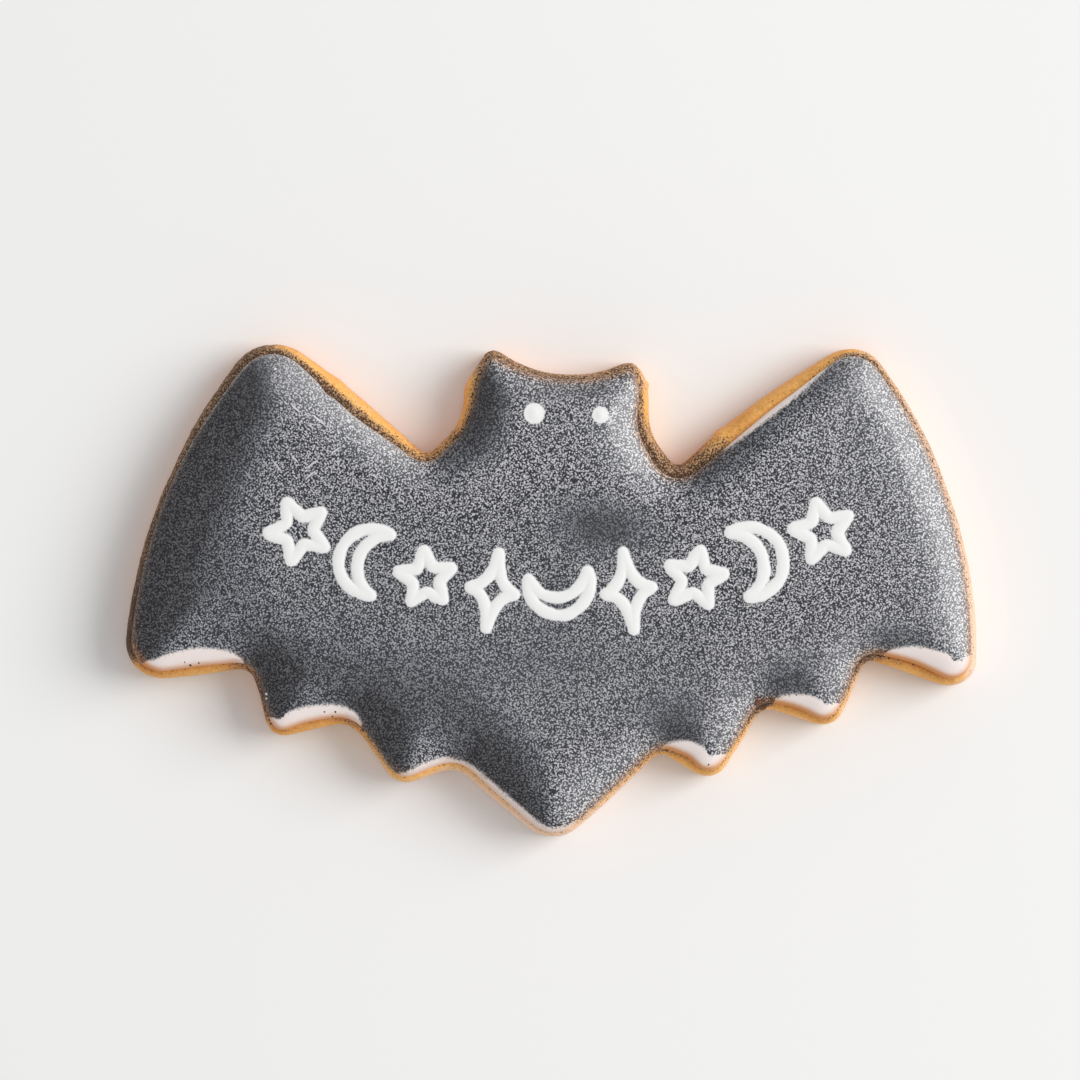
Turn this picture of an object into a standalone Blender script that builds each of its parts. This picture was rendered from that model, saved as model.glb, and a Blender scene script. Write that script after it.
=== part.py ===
"""An iced sugar cookie cut as a bat: a baked biscuit, and the puffed sheet of icing on it.

The cookie lies on its flat base at z = 0. +X runs along the wing span and +Y towards the ears.
Its outline is a ring of corners joined by straight or bowed edges, each corner rounded like a bent
cutter strip. The icing follows that outline at a rim that changes from edge to edge. The white eyes
and the row of star, moon and sparkle marks stand a little proud of the icing and are one with it.
"""

import math
from typing import NamedTuple

import bmesh
import bpy
from mathutils import Vector
from mathutils.geometry import interpolate_bezier, intersect_point_line
from mathutils.kdtree import KDTree

MM = 0.001

# Driving sizes
BISCUIT_THICKNESS = 6.5 * MM
FOOT_RADIUS = 0.8 * MM
SHOULDER_WIDTH = 1.3 * MM
SHOULDER_DROP = 3.0 * MM
ICING_TOP = 8.9 * MM
ICING_LIP = 0.25 * MM
ICING_SLOPE_WIDTH = 4.5 * MM
ICING_SLOPE_POWER = 2.2
GAP = 0.3 * MM

# Fineness of the facets
SMALLEST_CORNER_STEPS = 4
OUTLINE_STEP = 2.2 * MM
CORNER_STEP = 1.0 * MM
TOP_GRID = 3.0 * MM
FOOT_STEPS = 2
SHOULDER_STEPS = 4
TOP_RING_INSETS = (0.0, 0.08 * MM, 0.24 * MM, 0.5 * MM)
UNDER_RING_INSETS = (0.0, 0.24 * MM, 0.5 * MM)

WELD = 0.01 * MM
SHARP_ANGLE = math.radians(50)
CORNER_PLACE = 0.1

# White marks
MARK_RISE = 0.25 * MM
STROKE_RADIUS = 0.72 * MM
EYE_RISE = 0.45 * MM
ARC_LEFT = Vector((-32.5 * MM, 7.6 * MM))
ARC_RIGHT = Vector((35.0 * MM, 7.6 * MM))
ARC_SAG = 8.2 * MM
STAR_RADIUS = 4.0 * MM
STAR_WAIST = 0.46
MOON_RADIUS = 4.3 * MM
MOON_BITE_SHIFT = 2.5 * MM
SPARKLE_HEIGHT = 5.0 * MM
SPARKLE_WIDTH = 3.0 * MM
SPARKLE_WAIST = 0.12


class Corner(NamedTuple):
    """One corner of the cutter, in millimetres.

    rounding is how far from the corner its curve starts, bow how far the edge to the next corner
    swells outwards, rim the biscuit left bare outside the icing here, and mid_rim the same at the
    middle of the edge to the next corner.
    """

    name: str
    x: float
    y: float
    rounding: float
    bow: float
    rim: float
    mid_rim: float


CORNERS = [
    Corner("wing_left_low", -55.5, -11.7, 5.6, 4.5, 1.0, 0.9),
    Corner("wing_left_peak", -36.9, 34.0, 5.9, 0.6, 1.4, 2.4),
    Corner("notch_left", -16.1, 17.3, 1.3, 0.0, 1.3, 1.1),
    Corner("neck_left", -12.0, 21.3, 1.8, 0.0, 1.3, 1.5),
    Corner("cheek_left", -10.7, 27.4, 1.0, 0.0, 1.4, 0.9),
    Corner("ear_left", -7.8, 31.9, 1.7, -3.1, 0.9, 0.7),
    Corner("ear_right", 10.8, 30.2, 1.8, 0.0, 0.9, 1.0),
    Corner("cheek_right", 12.6, 26.7, 0.9, 0.0, 1.2, 1.4),
    Corner("neck_right", 12.8, 20.2, 2.1, 0.0, 1.7, 2.1),
    Corner("notch_right", 16.3, 15.7, 1.3, 0.0, 1.9, 2.1),
    Corner("knuckle_right", 22.0, 20.9, 1.2, 0.4, 2.2, 1.7),
    Corner("wing_right_peak", 40.0, 32.8, 4.5, 4.9, 1.1, 0.9),
    Corner("wing_right_low", 55.0, -13.9, 4.9, 0.0, 1.0, 1.5),
    Corner("hem_right_1", 40.7, -8.9, 1.2, 0.25, 1.0, 0.9),
    Corner("point_right_1", 36.5, -18.2, 2.5, 0.0, 0.9, 1.3),
    Corner("hem_right_2", 27.3, -15.1, 1.6, 0.2, 1.0, 0.8),
    Corner("point_right_2", 21.0, -25.3, 2.9, 0.0, 0.9, 1.4),
    Corner("hem_right_3", 14.1, -20.9, 1.3, 0.25, 0.9, 0.9),
    Corner("tail", 0.5, -33.4, 3.8, 0.3, 0.8, 1.0),
    Corner("hem_left_3", -12.2, -22.9, 1.8, 0.0, 1.1, 1.0),
    Corner("point_left_2", -20.3, -25.8, 2.7, -0.5, 0.9, 0.8),
    Corner("hem_left_2", -26.3, -17.1, 1.8, 0.0, 1.0, 1.2),
    Corner("point_left_1", -36.8, -19.5, 2.8, -0.4, 0.8, 0.6),
    Corner("hem_left_1", -39.0, -10.0, 1.7, 0.4, 0.9, 1.2),
]


class Eye(NamedTuple):
    """A round white dot of icing: its centre and radius in millimetres."""

    x: float
    y: float
    radius: float


EYES = {"eye_left": Eye(-2.1, 22.9, 1.36), "eye_right": Eye(6.4, 22.6, 1.08)}

# The marks from left to right: kind, turn in degrees, size
MARKS = [
    ("star", 22, 1.0),
    ("moon", -18, 1.0),
    ("star", 4, 0.92),
    ("sparkle", -10, 1.0),
    ("moon", 98, 0.94),
    ("sparkle", 8, 1.04),
    ("star", -9, 0.96),
    ("moon", 196, 1.05),
    ("star", 14, 0.98),
]


# The outline

def bowed_edge(start, end, bow):
    """A function from 0..1 to the point on the arc from start to end, and the arc's length."""
    chord = end - start
    half = chord.length / 2
    along = chord.normalized()
    outward = Vector((-along.y, along.x))
    if bow == 0:
        return (lambda t: start.lerp(end, t)), chord.length
    half_angle = 2 * math.atan(bow / half)
    radius = half / math.sin(half_angle)

    def point(t):
        angle = (2 * t - 1) * half_angle
        rise = radius * (math.cos(angle) - math.cos(half_angle))
        return start + along * (half + radius * math.sin(angle)) + outward * rise

    return point, 2 * radius * half_angle


def rounded_corner(before, corner_in, corner_out, after, count):
    """Points on a near circular curve that leaves before and arrives at after."""
    turn = corner_in.angle(corner_out)
    reach = (after - before).length / (2 * math.cos(turn / 2))
    handle = reach * (4 / 3) * math.tan(turn / 4) / math.tan(turn / 2)
    bezier = interpolate_bezier(
        before, before + corner_in * handle, after - corner_out * handle, after, count
    )
    return [Vector(p[:2]) for p in bezier]


def outline():
    """The biscuit's widest outline, clockwise from above, as (point, place) pairs.

    place counts corners: 3.5 is the middle of the edge after the fourth corner. A corner's curve
    takes CORNER_PLACE on each side of its number.
    """
    corners = [Vector((c.x, c.y)) * MM for c in CORNERS]
    count = len(corners)
    edges = [
        bowed_edge(corners[i], corners[(i + 1) % count], CORNERS[i].bow * MM)
        for i in range(count)
    ]
    nudge = 0.01
    loop = []
    for i in range(count):
        arrive, arrive_length = edges[i - 1]
        leave, leave_length = edges[i]
        cut_in = 1 - CORNERS[i].rounding * MM / arrive_length
        cut_out = CORNERS[i].rounding * MM / leave_length
        before, after = arrive(cut_in), leave(cut_out)
        heading_in = (before - arrive(cut_in - nudge)).normalized()
        heading_out = (leave(cut_out + nudge) - after).normalized()
        steps = max(SMALLEST_CORNER_STEPS, round(2 * CORNERS[i].rounding * MM / CORNER_STEP))
        bend = rounded_corner(before, heading_in, heading_out, after, steps + 1)
        for k, point in enumerate(bend):
            share = k / steps
            loop.append((point, (i + (2 * share - 1) * CORNER_PLACE) % count))
        stop = 1 - CORNERS[(i + 1) % count].rounding * MM / leave_length
        steps = max(2, round((stop - cut_out) * leave_length / OUTLINE_STEP))
        for k in range(1, steps):
            share = k / steps
            t = cut_out + (stop - cut_out) * share
            place = i + CORNER_PLACE + (1 - 2 * CORNER_PLACE) * share
            loop.append((leave(t), place % count))
    return loop


def centre_of(loop):
    """The middle of the outline's bounding box."""
    xs = [p.x for p, _ in loop]
    ys = [p.y for p, _ in loop]
    return Vector(((min(xs) + max(xs)) / 2, (min(ys) + max(ys)) / 2))


def inward_normals(points):
    """The unit normal into the cookie at each point of a clockwise loop."""
    normals = []
    for i in range(len(points)):
        along = (points[(i + 1) % len(points)] - points[i - 1]).normalized()
        normals.append(Vector((along.y, -along.x)))
    return normals


def rim_at(place):
    """The bare rim outside the icing at a place on the outline."""
    i = int(place) % len(CORNERS)
    share = place - int(place)
    here, there = CORNERS[i], CORNERS[(i + 1) % len(CORNERS)]
    if share < 0.5:
        low, high, t = here.rim, here.mid_rim, share * 2
    else:
        low, high, t = here.mid_rim, there.rim, share * 2 - 1
    ease = t * t * (3 - 2 * t)
    return (low + (high - low) * ease) * MM


# Heights

def shoulder_height(inset):
    """The biscuit's upper surface at a distance inside its widest outline."""
    share = min(max(inset / SHOULDER_WIDTH, 0.0), 1.0)
    return BISCUIT_THICKNESS - SHOULDER_DROP * (1 - math.sqrt(1 - (1 - share) ** 2))


def slope_share(distance):
    """How far up the icing's soft shoulder a point is, from 0 at its edge to 1 on top."""
    share = min(max(distance / ICING_SLOPE_WIDTH, 0.0), 1.0)
    return (1 - (1 - share) ** ICING_SLOPE_POWER) ** (1 / ICING_SLOPE_POWER)


# Meshes

def ring_of(bm, points, heights):
    """A closed ring of vertices."""
    return [bm.verts.new((p.x, p.y, z)) for p, z in zip(points, heights)]


def join_rings(bm, lower, upper):
    """Quads between two rings of the same length, facing out for clockwise rings."""
    count = len(lower)
    for i in range(count):
        j = (i + 1) % count
        bm.faces.new((lower[j], lower[i], upper[i], upper[j]))


def cut_into_grid(bm, face, step):
    """Cuts one flat face along a square grid, and returns the vertices inside it."""
    xs = [v.co.x for v in face.verts]
    ys = [v.co.y for v in face.verts]
    border = set(face.verts)
    faces = {face}
    for axis, low, high in ((0, min(xs), max(xs)), (1, min(ys), max(ys))):
        normal = Vector((1, 0, 0)) if axis == 0 else Vector((0, 1, 0))
        lines = int((high - low) / step)
        offset = low + ((high - low) - (lines - 1) * step) / 2
        for k in range(lines):
            live = [f for f in faces if f.is_valid]
            geometry = live + list({e for f in live for e in f.edges})
            geometry += list({v for f in live for v in f.verts})
            made = bmesh.ops.bisect_plane(
                bm,
                geom=geometry,
                dist=WELD,
                plane_co=normal * (offset + k * step),
                plane_no=normal,
            )
            faces |= {g for g in made["geom"] if isinstance(g, bmesh.types.BMFace)}
            cut = {g for g in made["geom_cut"] if isinstance(g, bmesh.types.BMVert)}
            faces |= {f for v in cut for f in v.link_faces if f.normal.z > 0}
    inside = {v for f in faces if f.is_valid for v in f.verts} - border
    return [v for v in inside if not any(e.is_boundary for e in v.link_edges)]


def finished_object(name, bm, material, collection, centre):
    """Puts a bmesh into a named object, placed so that the outline is centred on the origin."""
    bmesh.ops.recalc_face_normals(bm, faces=bm.faces)
    mesh = bpy.data.meshes.new(name)
    bm.to_mesh(mesh)
    bm.free()
    mesh.shade_smooth()
    mesh.set_sharp_from_angle(angle=SHARP_ANGLE)
    mesh.materials.append(material)
    obj = bpy.data.objects.new(name, mesh)
    obj.location = (-centre.x, -centre.y, 0)
    collection.objects.link(obj)
    return obj


def make_biscuit(loop, material, collection, centre):
    """The baked biscuit: a flat base, a small foot radius, an upright side and a wide soft shoulder."""
    points = [p for p, _ in loop]
    inward = inward_normals(points)
    levels = []
    for k in range(FOOT_STEPS + 1):
        angle = math.pi / 2 * k / FOOT_STEPS
        levels.append((FOOT_RADIUS * (1 - math.sin(angle)), FOOT_RADIUS * (1 - math.cos(angle))))
    for k in range(SHOULDER_STEPS + 1):
        inset = SHOULDER_WIDTH * (1 - math.cos(math.pi / 2 * k / SHOULDER_STEPS))
        levels.append((inset, shoulder_height(inset)))
    bm = bmesh.new()
    rings = []
    for inset, height in levels:
        moved = [p + n * inset for p, n in zip(points, inward)]
        rings.append(ring_of(bm, moved, [height] * len(moved)))
    for lower, upper in zip(rings, rings[1:]):
        join_rings(bm, lower, upper)
    bm.faces.new(rings[0])
    bm.faces.new(reversed(rings[-1]))
    return finished_object("biscuit", bm, material, collection, centre)


def make_icing(loop, material, collection, centre):
    """The icing: it lies on the biscuit, laps onto its shoulder, and puffs up to a soft plateau."""
    widest = [p for p, _ in loop]
    rims = [rim_at(place) for _, place in loop]
    edge = [p + n * rim for p, n, rim in zip(widest, inward_normals(widest), rims)]
    inward = inward_normals(edge)
    bm = bmesh.new()
    rings = []
    for inset in reversed(UNDER_RING_INSETS):
        points = [p + n * inset for p, n in zip(edge, inward)]
        rings.append(ring_of(bm, points, [shoulder_height(r + inset) + GAP for r in rims]))
    lips = [shoulder_height(r) + GAP + ICING_LIP for r in rims]
    for inset in TOP_RING_INSETS:
        points = [p + n * inset for p, n in zip(edge, inward)]
        share = slope_share(inset)
        rings.append(ring_of(bm, points, [lip + (ICING_TOP - lip) * share for lip in lips]))
    for lower, upper in zip(rings, rings[1:]):
        join_rings(bm, lower, upper)
    bm.faces.new(rings[0])
    top = bm.faces.new(reversed(rings[-1]))
    top.normal_update()
    raise_top(cut_into_grid(bm, top, TOP_GRID), edge, lips)
    return finished_object("icing", bm, material, collection, centre)


def raise_top(vertices, edge, lips):
    """Lifts the vertices of the icing's top onto its slope and plateau."""
    tree = KDTree(len(edge))
    for i, point in enumerate(edge):
        tree.insert((point.x, point.y, 0), i)
    tree.balance()
    for vertex in vertices:
        flat = Vector((vertex.co.x, vertex.co.y))
        _, i, _ = tree.find((flat.x, flat.y, 0))
        distance = min(
            (flat - near).length
            for near in (
                clamped(flat, edge[i - 1], edge[i]),
                clamped(flat, edge[i], edge[(i + 1) % len(edge)]),
            )
        )
        vertex.co.z = lips[i] + (ICING_TOP - lips[i]) * slope_share(distance)


def clamped(point, start, end):
    """The point nearest to point on the segment from start to end."""
    _, share = intersect_point_line(point, start, end)
    return start.lerp(end, min(max(share, 0.0), 1.0))


# White marks

def star_path():
    """The zigzag round a five-pointed star."""
    path = []
    for k in range(10):
        radius = STAR_RADIUS * (STAR_WAIST if k % 2 else 1.0)
        angle = math.pi / 2 + math.pi * k / 5
        path.append(Vector((math.cos(angle), math.sin(angle))) * radius)
    return path


def moon_path(steps=9):
    """The outline of a crescent: a round back, and the bite of an equal circle set to one side."""
    horn = math.acos(MOON_BITE_SHIFT / 2 / MOON_RADIUS)
    path = []
    for k in range(steps + 1):
        angle = horn + (2 * math.pi - 2 * horn) * k / steps
        path.append(Vector((math.cos(angle), math.sin(angle))) * MOON_RADIUS)
    for k in range(1, steps):
        angle = math.pi + horn - 2 * horn * k / steps
        back = Vector((math.cos(angle), math.sin(angle))) * MOON_RADIUS
        path.append(back + Vector((MOON_BITE_SHIFT, 0)))
    middle = Vector((MOON_BITE_SHIFT / 2 - MOON_RADIUS, 0)) / 2
    return [p - middle for p in path]


def sparkle_path(steps=4):
    """The outline of a four-pointed sparkle whose sides curve in."""
    tips = [
        Vector((0, SPARKLE_HEIGHT)),
        Vector((-SPARKLE_WIDTH, 0)),
        Vector((0, -SPARKLE_HEIGHT)),
        Vector((SPARKLE_WIDTH, 0)),
    ]
    path = []
    for here, there in zip(tips, tips[1:] + tips[:1]):
        pull = (here + there) * SPARKLE_WAIST
        for k in range(steps):
            t = k / steps
            path.append(here * (1 - t) ** 2 + pull * 2 * t * (1 - t) + there * t * t)
    return path


PATHS = {"star": star_path, "moon": moon_path, "sparkle": sparkle_path}


def arc_point(share):
    """A point on the sagging line that the marks stand on."""
    point, _ = bowed_edge(ARC_LEFT, ARC_RIGHT, -ARC_SAG)
    return point(share)


def stroke(name, path, place, turn, size, collection):
    """A closed line of icing along a path: a round tube sunk until only MARK_RISE stands proud."""
    curve = bpy.data.curves.new(name, "CURVE")
    curve.dimensions = "3D"
    curve.bevel_depth = STROKE_RADIUS
    curve.bevel_resolution = 1
    spline = curve.splines.new("POLY")
    spline.points.add(len(path) - 1)
    spline.use_cyclic_u = True
    for point, target in zip(path, spline.points):
        target.co = (point.x * size, point.y * size, 0, 1)
    tube = bpy.data.objects.new(name, curve)
    tube.location = (place.x, place.y, ICING_TOP - STROKE_RADIUS + MARK_RISE)
    tube.rotation_euler.z = math.radians(turn)
    collection.objects.link(tube)
    return tube


def as_mesh(source, collection):
    """Replaces a curve object with a welded mesh object of the same name and place."""
    bpy.context.view_layer.update()
    graph = bpy.context.evaluated_depsgraph_get()
    mesh = bpy.data.meshes.new_from_object(source.evaluated_get(graph))
    bm = bmesh.new()
    bm.from_mesh(mesh)
    bmesh.ops.remove_doubles(bm, verts=bm.verts, dist=WELD)
    bmesh.ops.recalc_face_normals(bm, faces=bm.faces)
    bm.to_mesh(mesh)
    bm.free()
    name, place = source.name, source.matrix_world.copy()
    bpy.data.objects.remove(source)
    solid = bpy.data.objects.new(name, mesh)
    solid.matrix_world = place
    collection.objects.link(solid)
    return solid


def make_eye(name, eye, collection, centre):
    """A flattened dot of icing, most of it sunk in the plateau."""
    bm = bmesh.new()
    bmesh.ops.create_uvsphere(bm, u_segments=20, v_segments=10, radius=1.0)
    # The sphere meets the plateau at the dot's radius when it is sunk by half its height.
    height = 2 * EYE_RISE
    width = eye.radius * MM / math.sqrt(1 - 0.5**2)
    bmesh.ops.scale(bm, vec=(width, width, height), verts=bm.verts)
    mesh = bpy.data.meshes.new(name)
    bm.to_mesh(mesh)
    bm.free()
    dot = bpy.data.objects.new(name, mesh)
    dot.location = (eye.x * MM - centre.x, eye.y * MM - centre.y, ICING_TOP - EYE_RISE)
    collection.objects.link(dot)


def fuse_marks(icing, centre):
    """Joins the eyes and the row of marks to the icing with one Boolean union."""
    marks = bpy.data.collections.new("marks")
    bpy.context.scene.collection.children.link(marks)
    for name, eye in EYES.items():
        make_eye(name, eye, marks, centre)
    for k, (kind, turn, size) in enumerate(MARKS):
        place = arc_point(k / (len(MARKS) - 1)) - centre
        tube = stroke(f"{kind}_{k + 1}", PATHS[kind](), place, turn, size, marks)
        as_mesh(tube, marks)
    union = icing.modifiers.new("union", "BOOLEAN")
    union.operation = "UNION"
    union.solver = "EXACT"
    union.operand_type = "COLLECTION"
    union.collection = marks
    bpy.context.view_layer.objects.active = icing
    bpy.ops.object.modifier_apply(modifier=union.name)
    for obj in list(marks.objects):
        bpy.data.objects.remove(obj)
    bpy.data.collections.remove(marks)


def material_of(name, colour, roughness):
    """A Principled material with one colour."""
    material = bpy.data.materials.new(name)
    material.use_nodes = True
    shader = material.node_tree.nodes["Principled BSDF"]
    shader.inputs["Base Color"].default_value = (*colour, 1)
    shader.inputs["Roughness"].default_value = roughness
    shader.inputs["Metallic"].default_value = 0
    return material


def main():
    """Clears the scene and builds the cookie."""
    for obj in list(bpy.data.objects):
        bpy.data.objects.remove(obj)
    cookie = bpy.data.collections.new("bat_cookie")
    bpy.context.scene.collection.children.link(cookie)
    crust = material_of("baked_crust", (0.62, 0.33, 0.12), 0.75)
    sugar = material_of("sprayed_icing", (0.16, 0.17, 0.19), 0.5)
    loop = outline()
    centre = centre_of(loop)
    make_biscuit(loop, crust, cookie, centre)
    icing = make_icing(loop, sugar, cookie, centre)
    fuse_marks(icing, centre)


main()
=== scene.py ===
"""The looks of an iced sugar cookie cut as a bat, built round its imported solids.

The cookie lies on z = 0 with its wings along X and its ears towards +Y. Lengths are in metres,
places on the drawing in millimetres. Two pieces are made: the baked biscuit, and the icing sprayed
black as a fine speckle, with its white eyes and its row of white marks.
"""

import logging
import math
from collections.abc import Iterable, Sequence
from dataclasses import dataclass, field
from enum import Enum
from typing import Any

import bmesh
import bpy
import numpy as np
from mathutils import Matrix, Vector, noise
from mathutils.kdtree import KDTree


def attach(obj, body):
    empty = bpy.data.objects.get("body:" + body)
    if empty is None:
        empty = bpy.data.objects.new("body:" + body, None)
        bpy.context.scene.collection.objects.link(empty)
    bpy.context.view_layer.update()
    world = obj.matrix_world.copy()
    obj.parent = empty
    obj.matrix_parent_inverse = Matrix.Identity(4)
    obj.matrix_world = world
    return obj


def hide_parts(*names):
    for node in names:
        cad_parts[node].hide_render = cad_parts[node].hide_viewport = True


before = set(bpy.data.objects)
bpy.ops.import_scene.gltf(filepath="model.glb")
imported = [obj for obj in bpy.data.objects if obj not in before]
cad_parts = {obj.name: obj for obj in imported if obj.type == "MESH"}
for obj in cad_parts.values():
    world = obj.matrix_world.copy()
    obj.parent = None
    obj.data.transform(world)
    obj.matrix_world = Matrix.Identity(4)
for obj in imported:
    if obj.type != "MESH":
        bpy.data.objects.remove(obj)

MM = 0.001
WELD = 0.001 * MM
RING_SMOOTHING = 7
SHARP_ANGLE = math.radians(60)
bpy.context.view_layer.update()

# From the origin of the drawing, on which places are given in millimetres, to the part's own origin
DRAWING_SHIFT = Vector((-0.034, 0.117))

log = logging.getLogger("cookie")


def placed(x: float, y: float) -> Vector:
    """Turns a place on the drawing, in millimetres, into the part's frame."""
    return (Vector((x, y)) + DRAWING_SHIFT) * MM


def screen(red: float, green: float, blue: float) -> tuple[float, float, float, float]:
    """Turns a colour given as screen values from 0 to 255 into linear light.

    Args:
        red: The red value.
        green: The green value.
        blue: The blue value.

    Returns:
        The colour with an alpha of one.
    """
    linear = [
        c / 12.92 if c <= 0.04045 else ((c + 0.055) / 1.055) ** 2.4
        for c in (red / 255, green / 255, blue / 255)
    ]
    return (*linear, 1.0)


def ease(value: np.ndarray, low: float, high: float) -> np.ndarray:
    """Rises smoothly from 0 where value is low to 1 where it is high."""
    share = np.clip((value - low) / (high - low), 0.0, 1.0)
    return share * share * (3 - 2 * share)


# Outlines


@dataclass
class Contour:
    """A closed outline seen from above, counterclockwise, with even points.

    Attributes:
        points: The points, one per row.
        normals: The outward normal at each point.
        tree: The points again, for a quick search.
    """

    points: np.ndarray
    normals: np.ndarray = field(init=False)
    tree: KDTree = field(init=False, repr=False)

    def __post_init__(self) -> None:
        """Works out the normals and fills the search tree."""
        along = np.roll(self.points, -2, 0) - np.roll(self.points, 2, 0)
        along /= np.linalg.norm(along, axis=1)[:, None]
        self.normals = np.stack((along[:, 1], -along[:, 0]), 1)
        self.tree = KDTree(len(self.points))
        for i, (x, y) in enumerate(self.points):
            self.tree.insert((x, y, 0.0), i)
        self.tree.balance()

    def index_at(self, place: Vector) -> int:
        """Finds the number of the point nearest to a place."""
        return self.tree.find((place.x, place.y, 0.0))[1]

    def measure(self, flat: np.ndarray) -> tuple[np.ndarray, np.ndarray]:
        """Measures how far places are from the outline.

        Args:
            flat: The places, one (x, y) per row.

        Returns:
            The distances, and the number of the nearest point for each place.
        """
        nearest = np.array([self.tree.find((x, y, 0.0))[1] for x, y in flat])
        best = np.full(len(flat), np.inf)
        for step in (-1, 0):
            start = self.points[(nearest + step) % len(self.points)]
            edge = self.points[(nearest + step + 1) % len(self.points)] - start
            share = ((flat - start) * edge).sum(1) / (edge**2).sum(1)
            near = start + edge * np.clip(share, 0.0, 1.0)[:, None]
            best = np.minimum(best, np.linalg.norm(flat - near, axis=1))
        return best, nearest

    def along(self, keys: Sequence[tuple[float, float, float]]) -> np.ndarray:
        """Spreads values given at a few places round the whole outline.

        Args:
            keys: Drawing x, drawing y and value of each key.

        Returns:
            One value per point of the outline.
        """
        at = [self.index_at(placed(x, y)) for x, y, _ in keys]
        values = [value for _, _, value in keys]
        return np.interp(np.arange(len(self.points)), at, values, period=len(self.points))


@dataclass(frozen=True)
class Nudge:
    """A small dent or bulge of an outline.

    Attributes:
        x: Drawing x of its middle, in millimetres.
        y: Drawing y of its middle.
        reach: How far along the outline it is felt, in millimetres.
        push: How far the outline moves outwards, in millimetres.
    """

    x: float
    y: float
    reach: float
    push: float


def section_ring(node: bpy.types.Object, height: float, spacing: float) -> bmesh.types.BMesh:
    """Cuts a level ring of even, softened edges out of a CAD node.

    Args:
        node: The node's object.
        height: The level of the cut.
        spacing: The wanted length of an edge.

    Returns:
        A bmesh that holds nothing but the ring.
    """
    bm = bmesh.new()
    bm.from_mesh(node.data)
    bmesh.ops.remove_doubles(bm, verts=bm.verts, dist=WELD)
    bmesh.ops.bisect_plane(
        bm,
        geom=[*bm.verts, *bm.edges, *bm.faces],
        dist=WELD / 10,
        plane_co=(0, 0, height),
        plane_no=(0, 0, 1),
        clear_inner=True,
        clear_outer=True,
    )
    bmesh.ops.remove_doubles(bm, verts=bm.verts, dist=0.4 * spacing)
    by_parts: dict[int, list[bmesh.types.BMEdge]] = {}
    for edge in bm.edges:
        by_parts.setdefault(round(edge.calc_length() / spacing), []).append(edge)
    for parts, edges in by_parts.items():
        if parts > 1:
            bmesh.ops.subdivide_edges(bm, edges=edges, cuts=parts - 1)
    for _ in range(RING_SMOOTHING):
        bmesh.ops.smooth_vert(bm, verts=bm.verts, factor=0.5, use_axis_x=True, use_axis_y=True)
    return bm


def fill_ring(bm: bmesh.types.BMesh, nudges: Iterable[Nudge]) -> tuple[bmesh.types.BMFace, Contour]:
    """Fills a ring with one face that looks up, and moves its outline by the nudges.

    Args:
        bm: The bmesh that holds the ring.
        nudges: The dents and bulges.

    Returns:
        The face and its outline.
    """
    face = bmesh.ops.edgeloop_fill(bm, edges=bm.edges)["faces"][0]
    if face.normal.z < 0:
        bmesh.ops.reverse_faces(bm, faces=[face])
    plain = Contour(np.array([v.co.xy for v in face.verts]))
    points = plain.points.copy()
    for nudge in nudges:
        away = np.linalg.norm(plain.points - np.array(placed(nudge.x, nudge.y)), axis=1)
        push = nudge.push * MM * np.exp(-0.5 * (away / (nudge.reach * MM)) ** 2)
        points += plain.normals * push[:, None]
    for vertex, (x, y) in zip(face.verts, points):
        vertex.co.xy = x, y
    return face, Contour(points)


def cut_grid(bm: bmesh.types.BMesh, face: bmesh.types.BMFace, step: float) -> None:
    """Cuts one flat face along a square grid.

    Args:
        bm: The bmesh of the face.
        face: The face to cut.
        step: The side of a square.
    """
    outside = set(bm.faces) - {face}
    pending = [face]
    for axis, normal in enumerate((Vector((1, 0, 0)), Vector((0, 1, 0)))):
        places = [v.co[axis] for f in pending for v in f.verts]
        low, high = min(places), max(places)
        lines = int((high - low) / step)
        start = low + (high - low - (lines - 1) * step) / 2
        passed: list[bmesh.types.BMFace] = []
        for k in range(lines):
            line = start + k * step
            edges = dict.fromkeys(e for f in pending for e in f.edges)
            corners = dict.fromkeys(v for e in edges for v in e.verts)
            made = bmesh.ops.bisect_plane(
                bm,
                geom=[*pending, *edges, *corners],
                dist=WELD,
                plane_co=normal * line,
                plane_no=normal,
            )
            cut = [g for g in made["geom_cut"] if isinstance(g, bmesh.types.BMVert)]
            found = dict.fromkeys([*(f for v in cut for f in v.link_faces), *pending])
            pending = []
            for part in found:
                if part in outside:
                    continue
                if max(v.co[axis] for v in part.verts) > line + WELD:
                    pending.append(part)
                else:
                    passed.append(part)
        pending = list(dict.fromkeys(f for f in passed + pending if f.is_valid))


def inset_rings(bm: bmesh.types.BMesh, face: bmesh.types.BMFace, insets: Iterable[float]) -> None:
    """Lays rings of the given widths just inside a face's outline."""
    for inset in insets:
        bmesh.ops.inset_region(
            bm, faces=[face], thickness=inset, use_boundary=True, use_even_offset=True
        )


def draw_down(
    bm: bmesh.types.BMesh,
    border: list[bmesh.types.BMEdge],
    outline: Contour,
    inset: float,
    heights: np.ndarray,
) -> list[bmesh.types.BMEdge]:
    """Draws a border down by one ring, which follows an outline.

    Args:
        bm: The bmesh.
        border: The open edges to draw from.
        outline: The outline.
        inset: How far inside the outline the ring runs.
        heights: The ring's height at each point of the outline.

    Returns:
        The edges of the new ring.
    """
    made = bmesh.ops.extrude_edge_only(bm, edges=border)["geom"]
    for vertex in (g for g in made if isinstance(g, bmesh.types.BMVert)):
        i = outline.index_at(vertex.co)
        vertex.co.xy = outline.points[i] - outline.normals[i] * inset
        vertex.co.z = heights[i]
    return [g for g in made if isinstance(g, bmesh.types.BMEdge)]


def flat_places(bm: bmesh.types.BMesh) -> np.ndarray:
    """Lists the (x, y) place of every vertex, one per row."""
    return np.array([v.co.xy for v in bm.verts])


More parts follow.
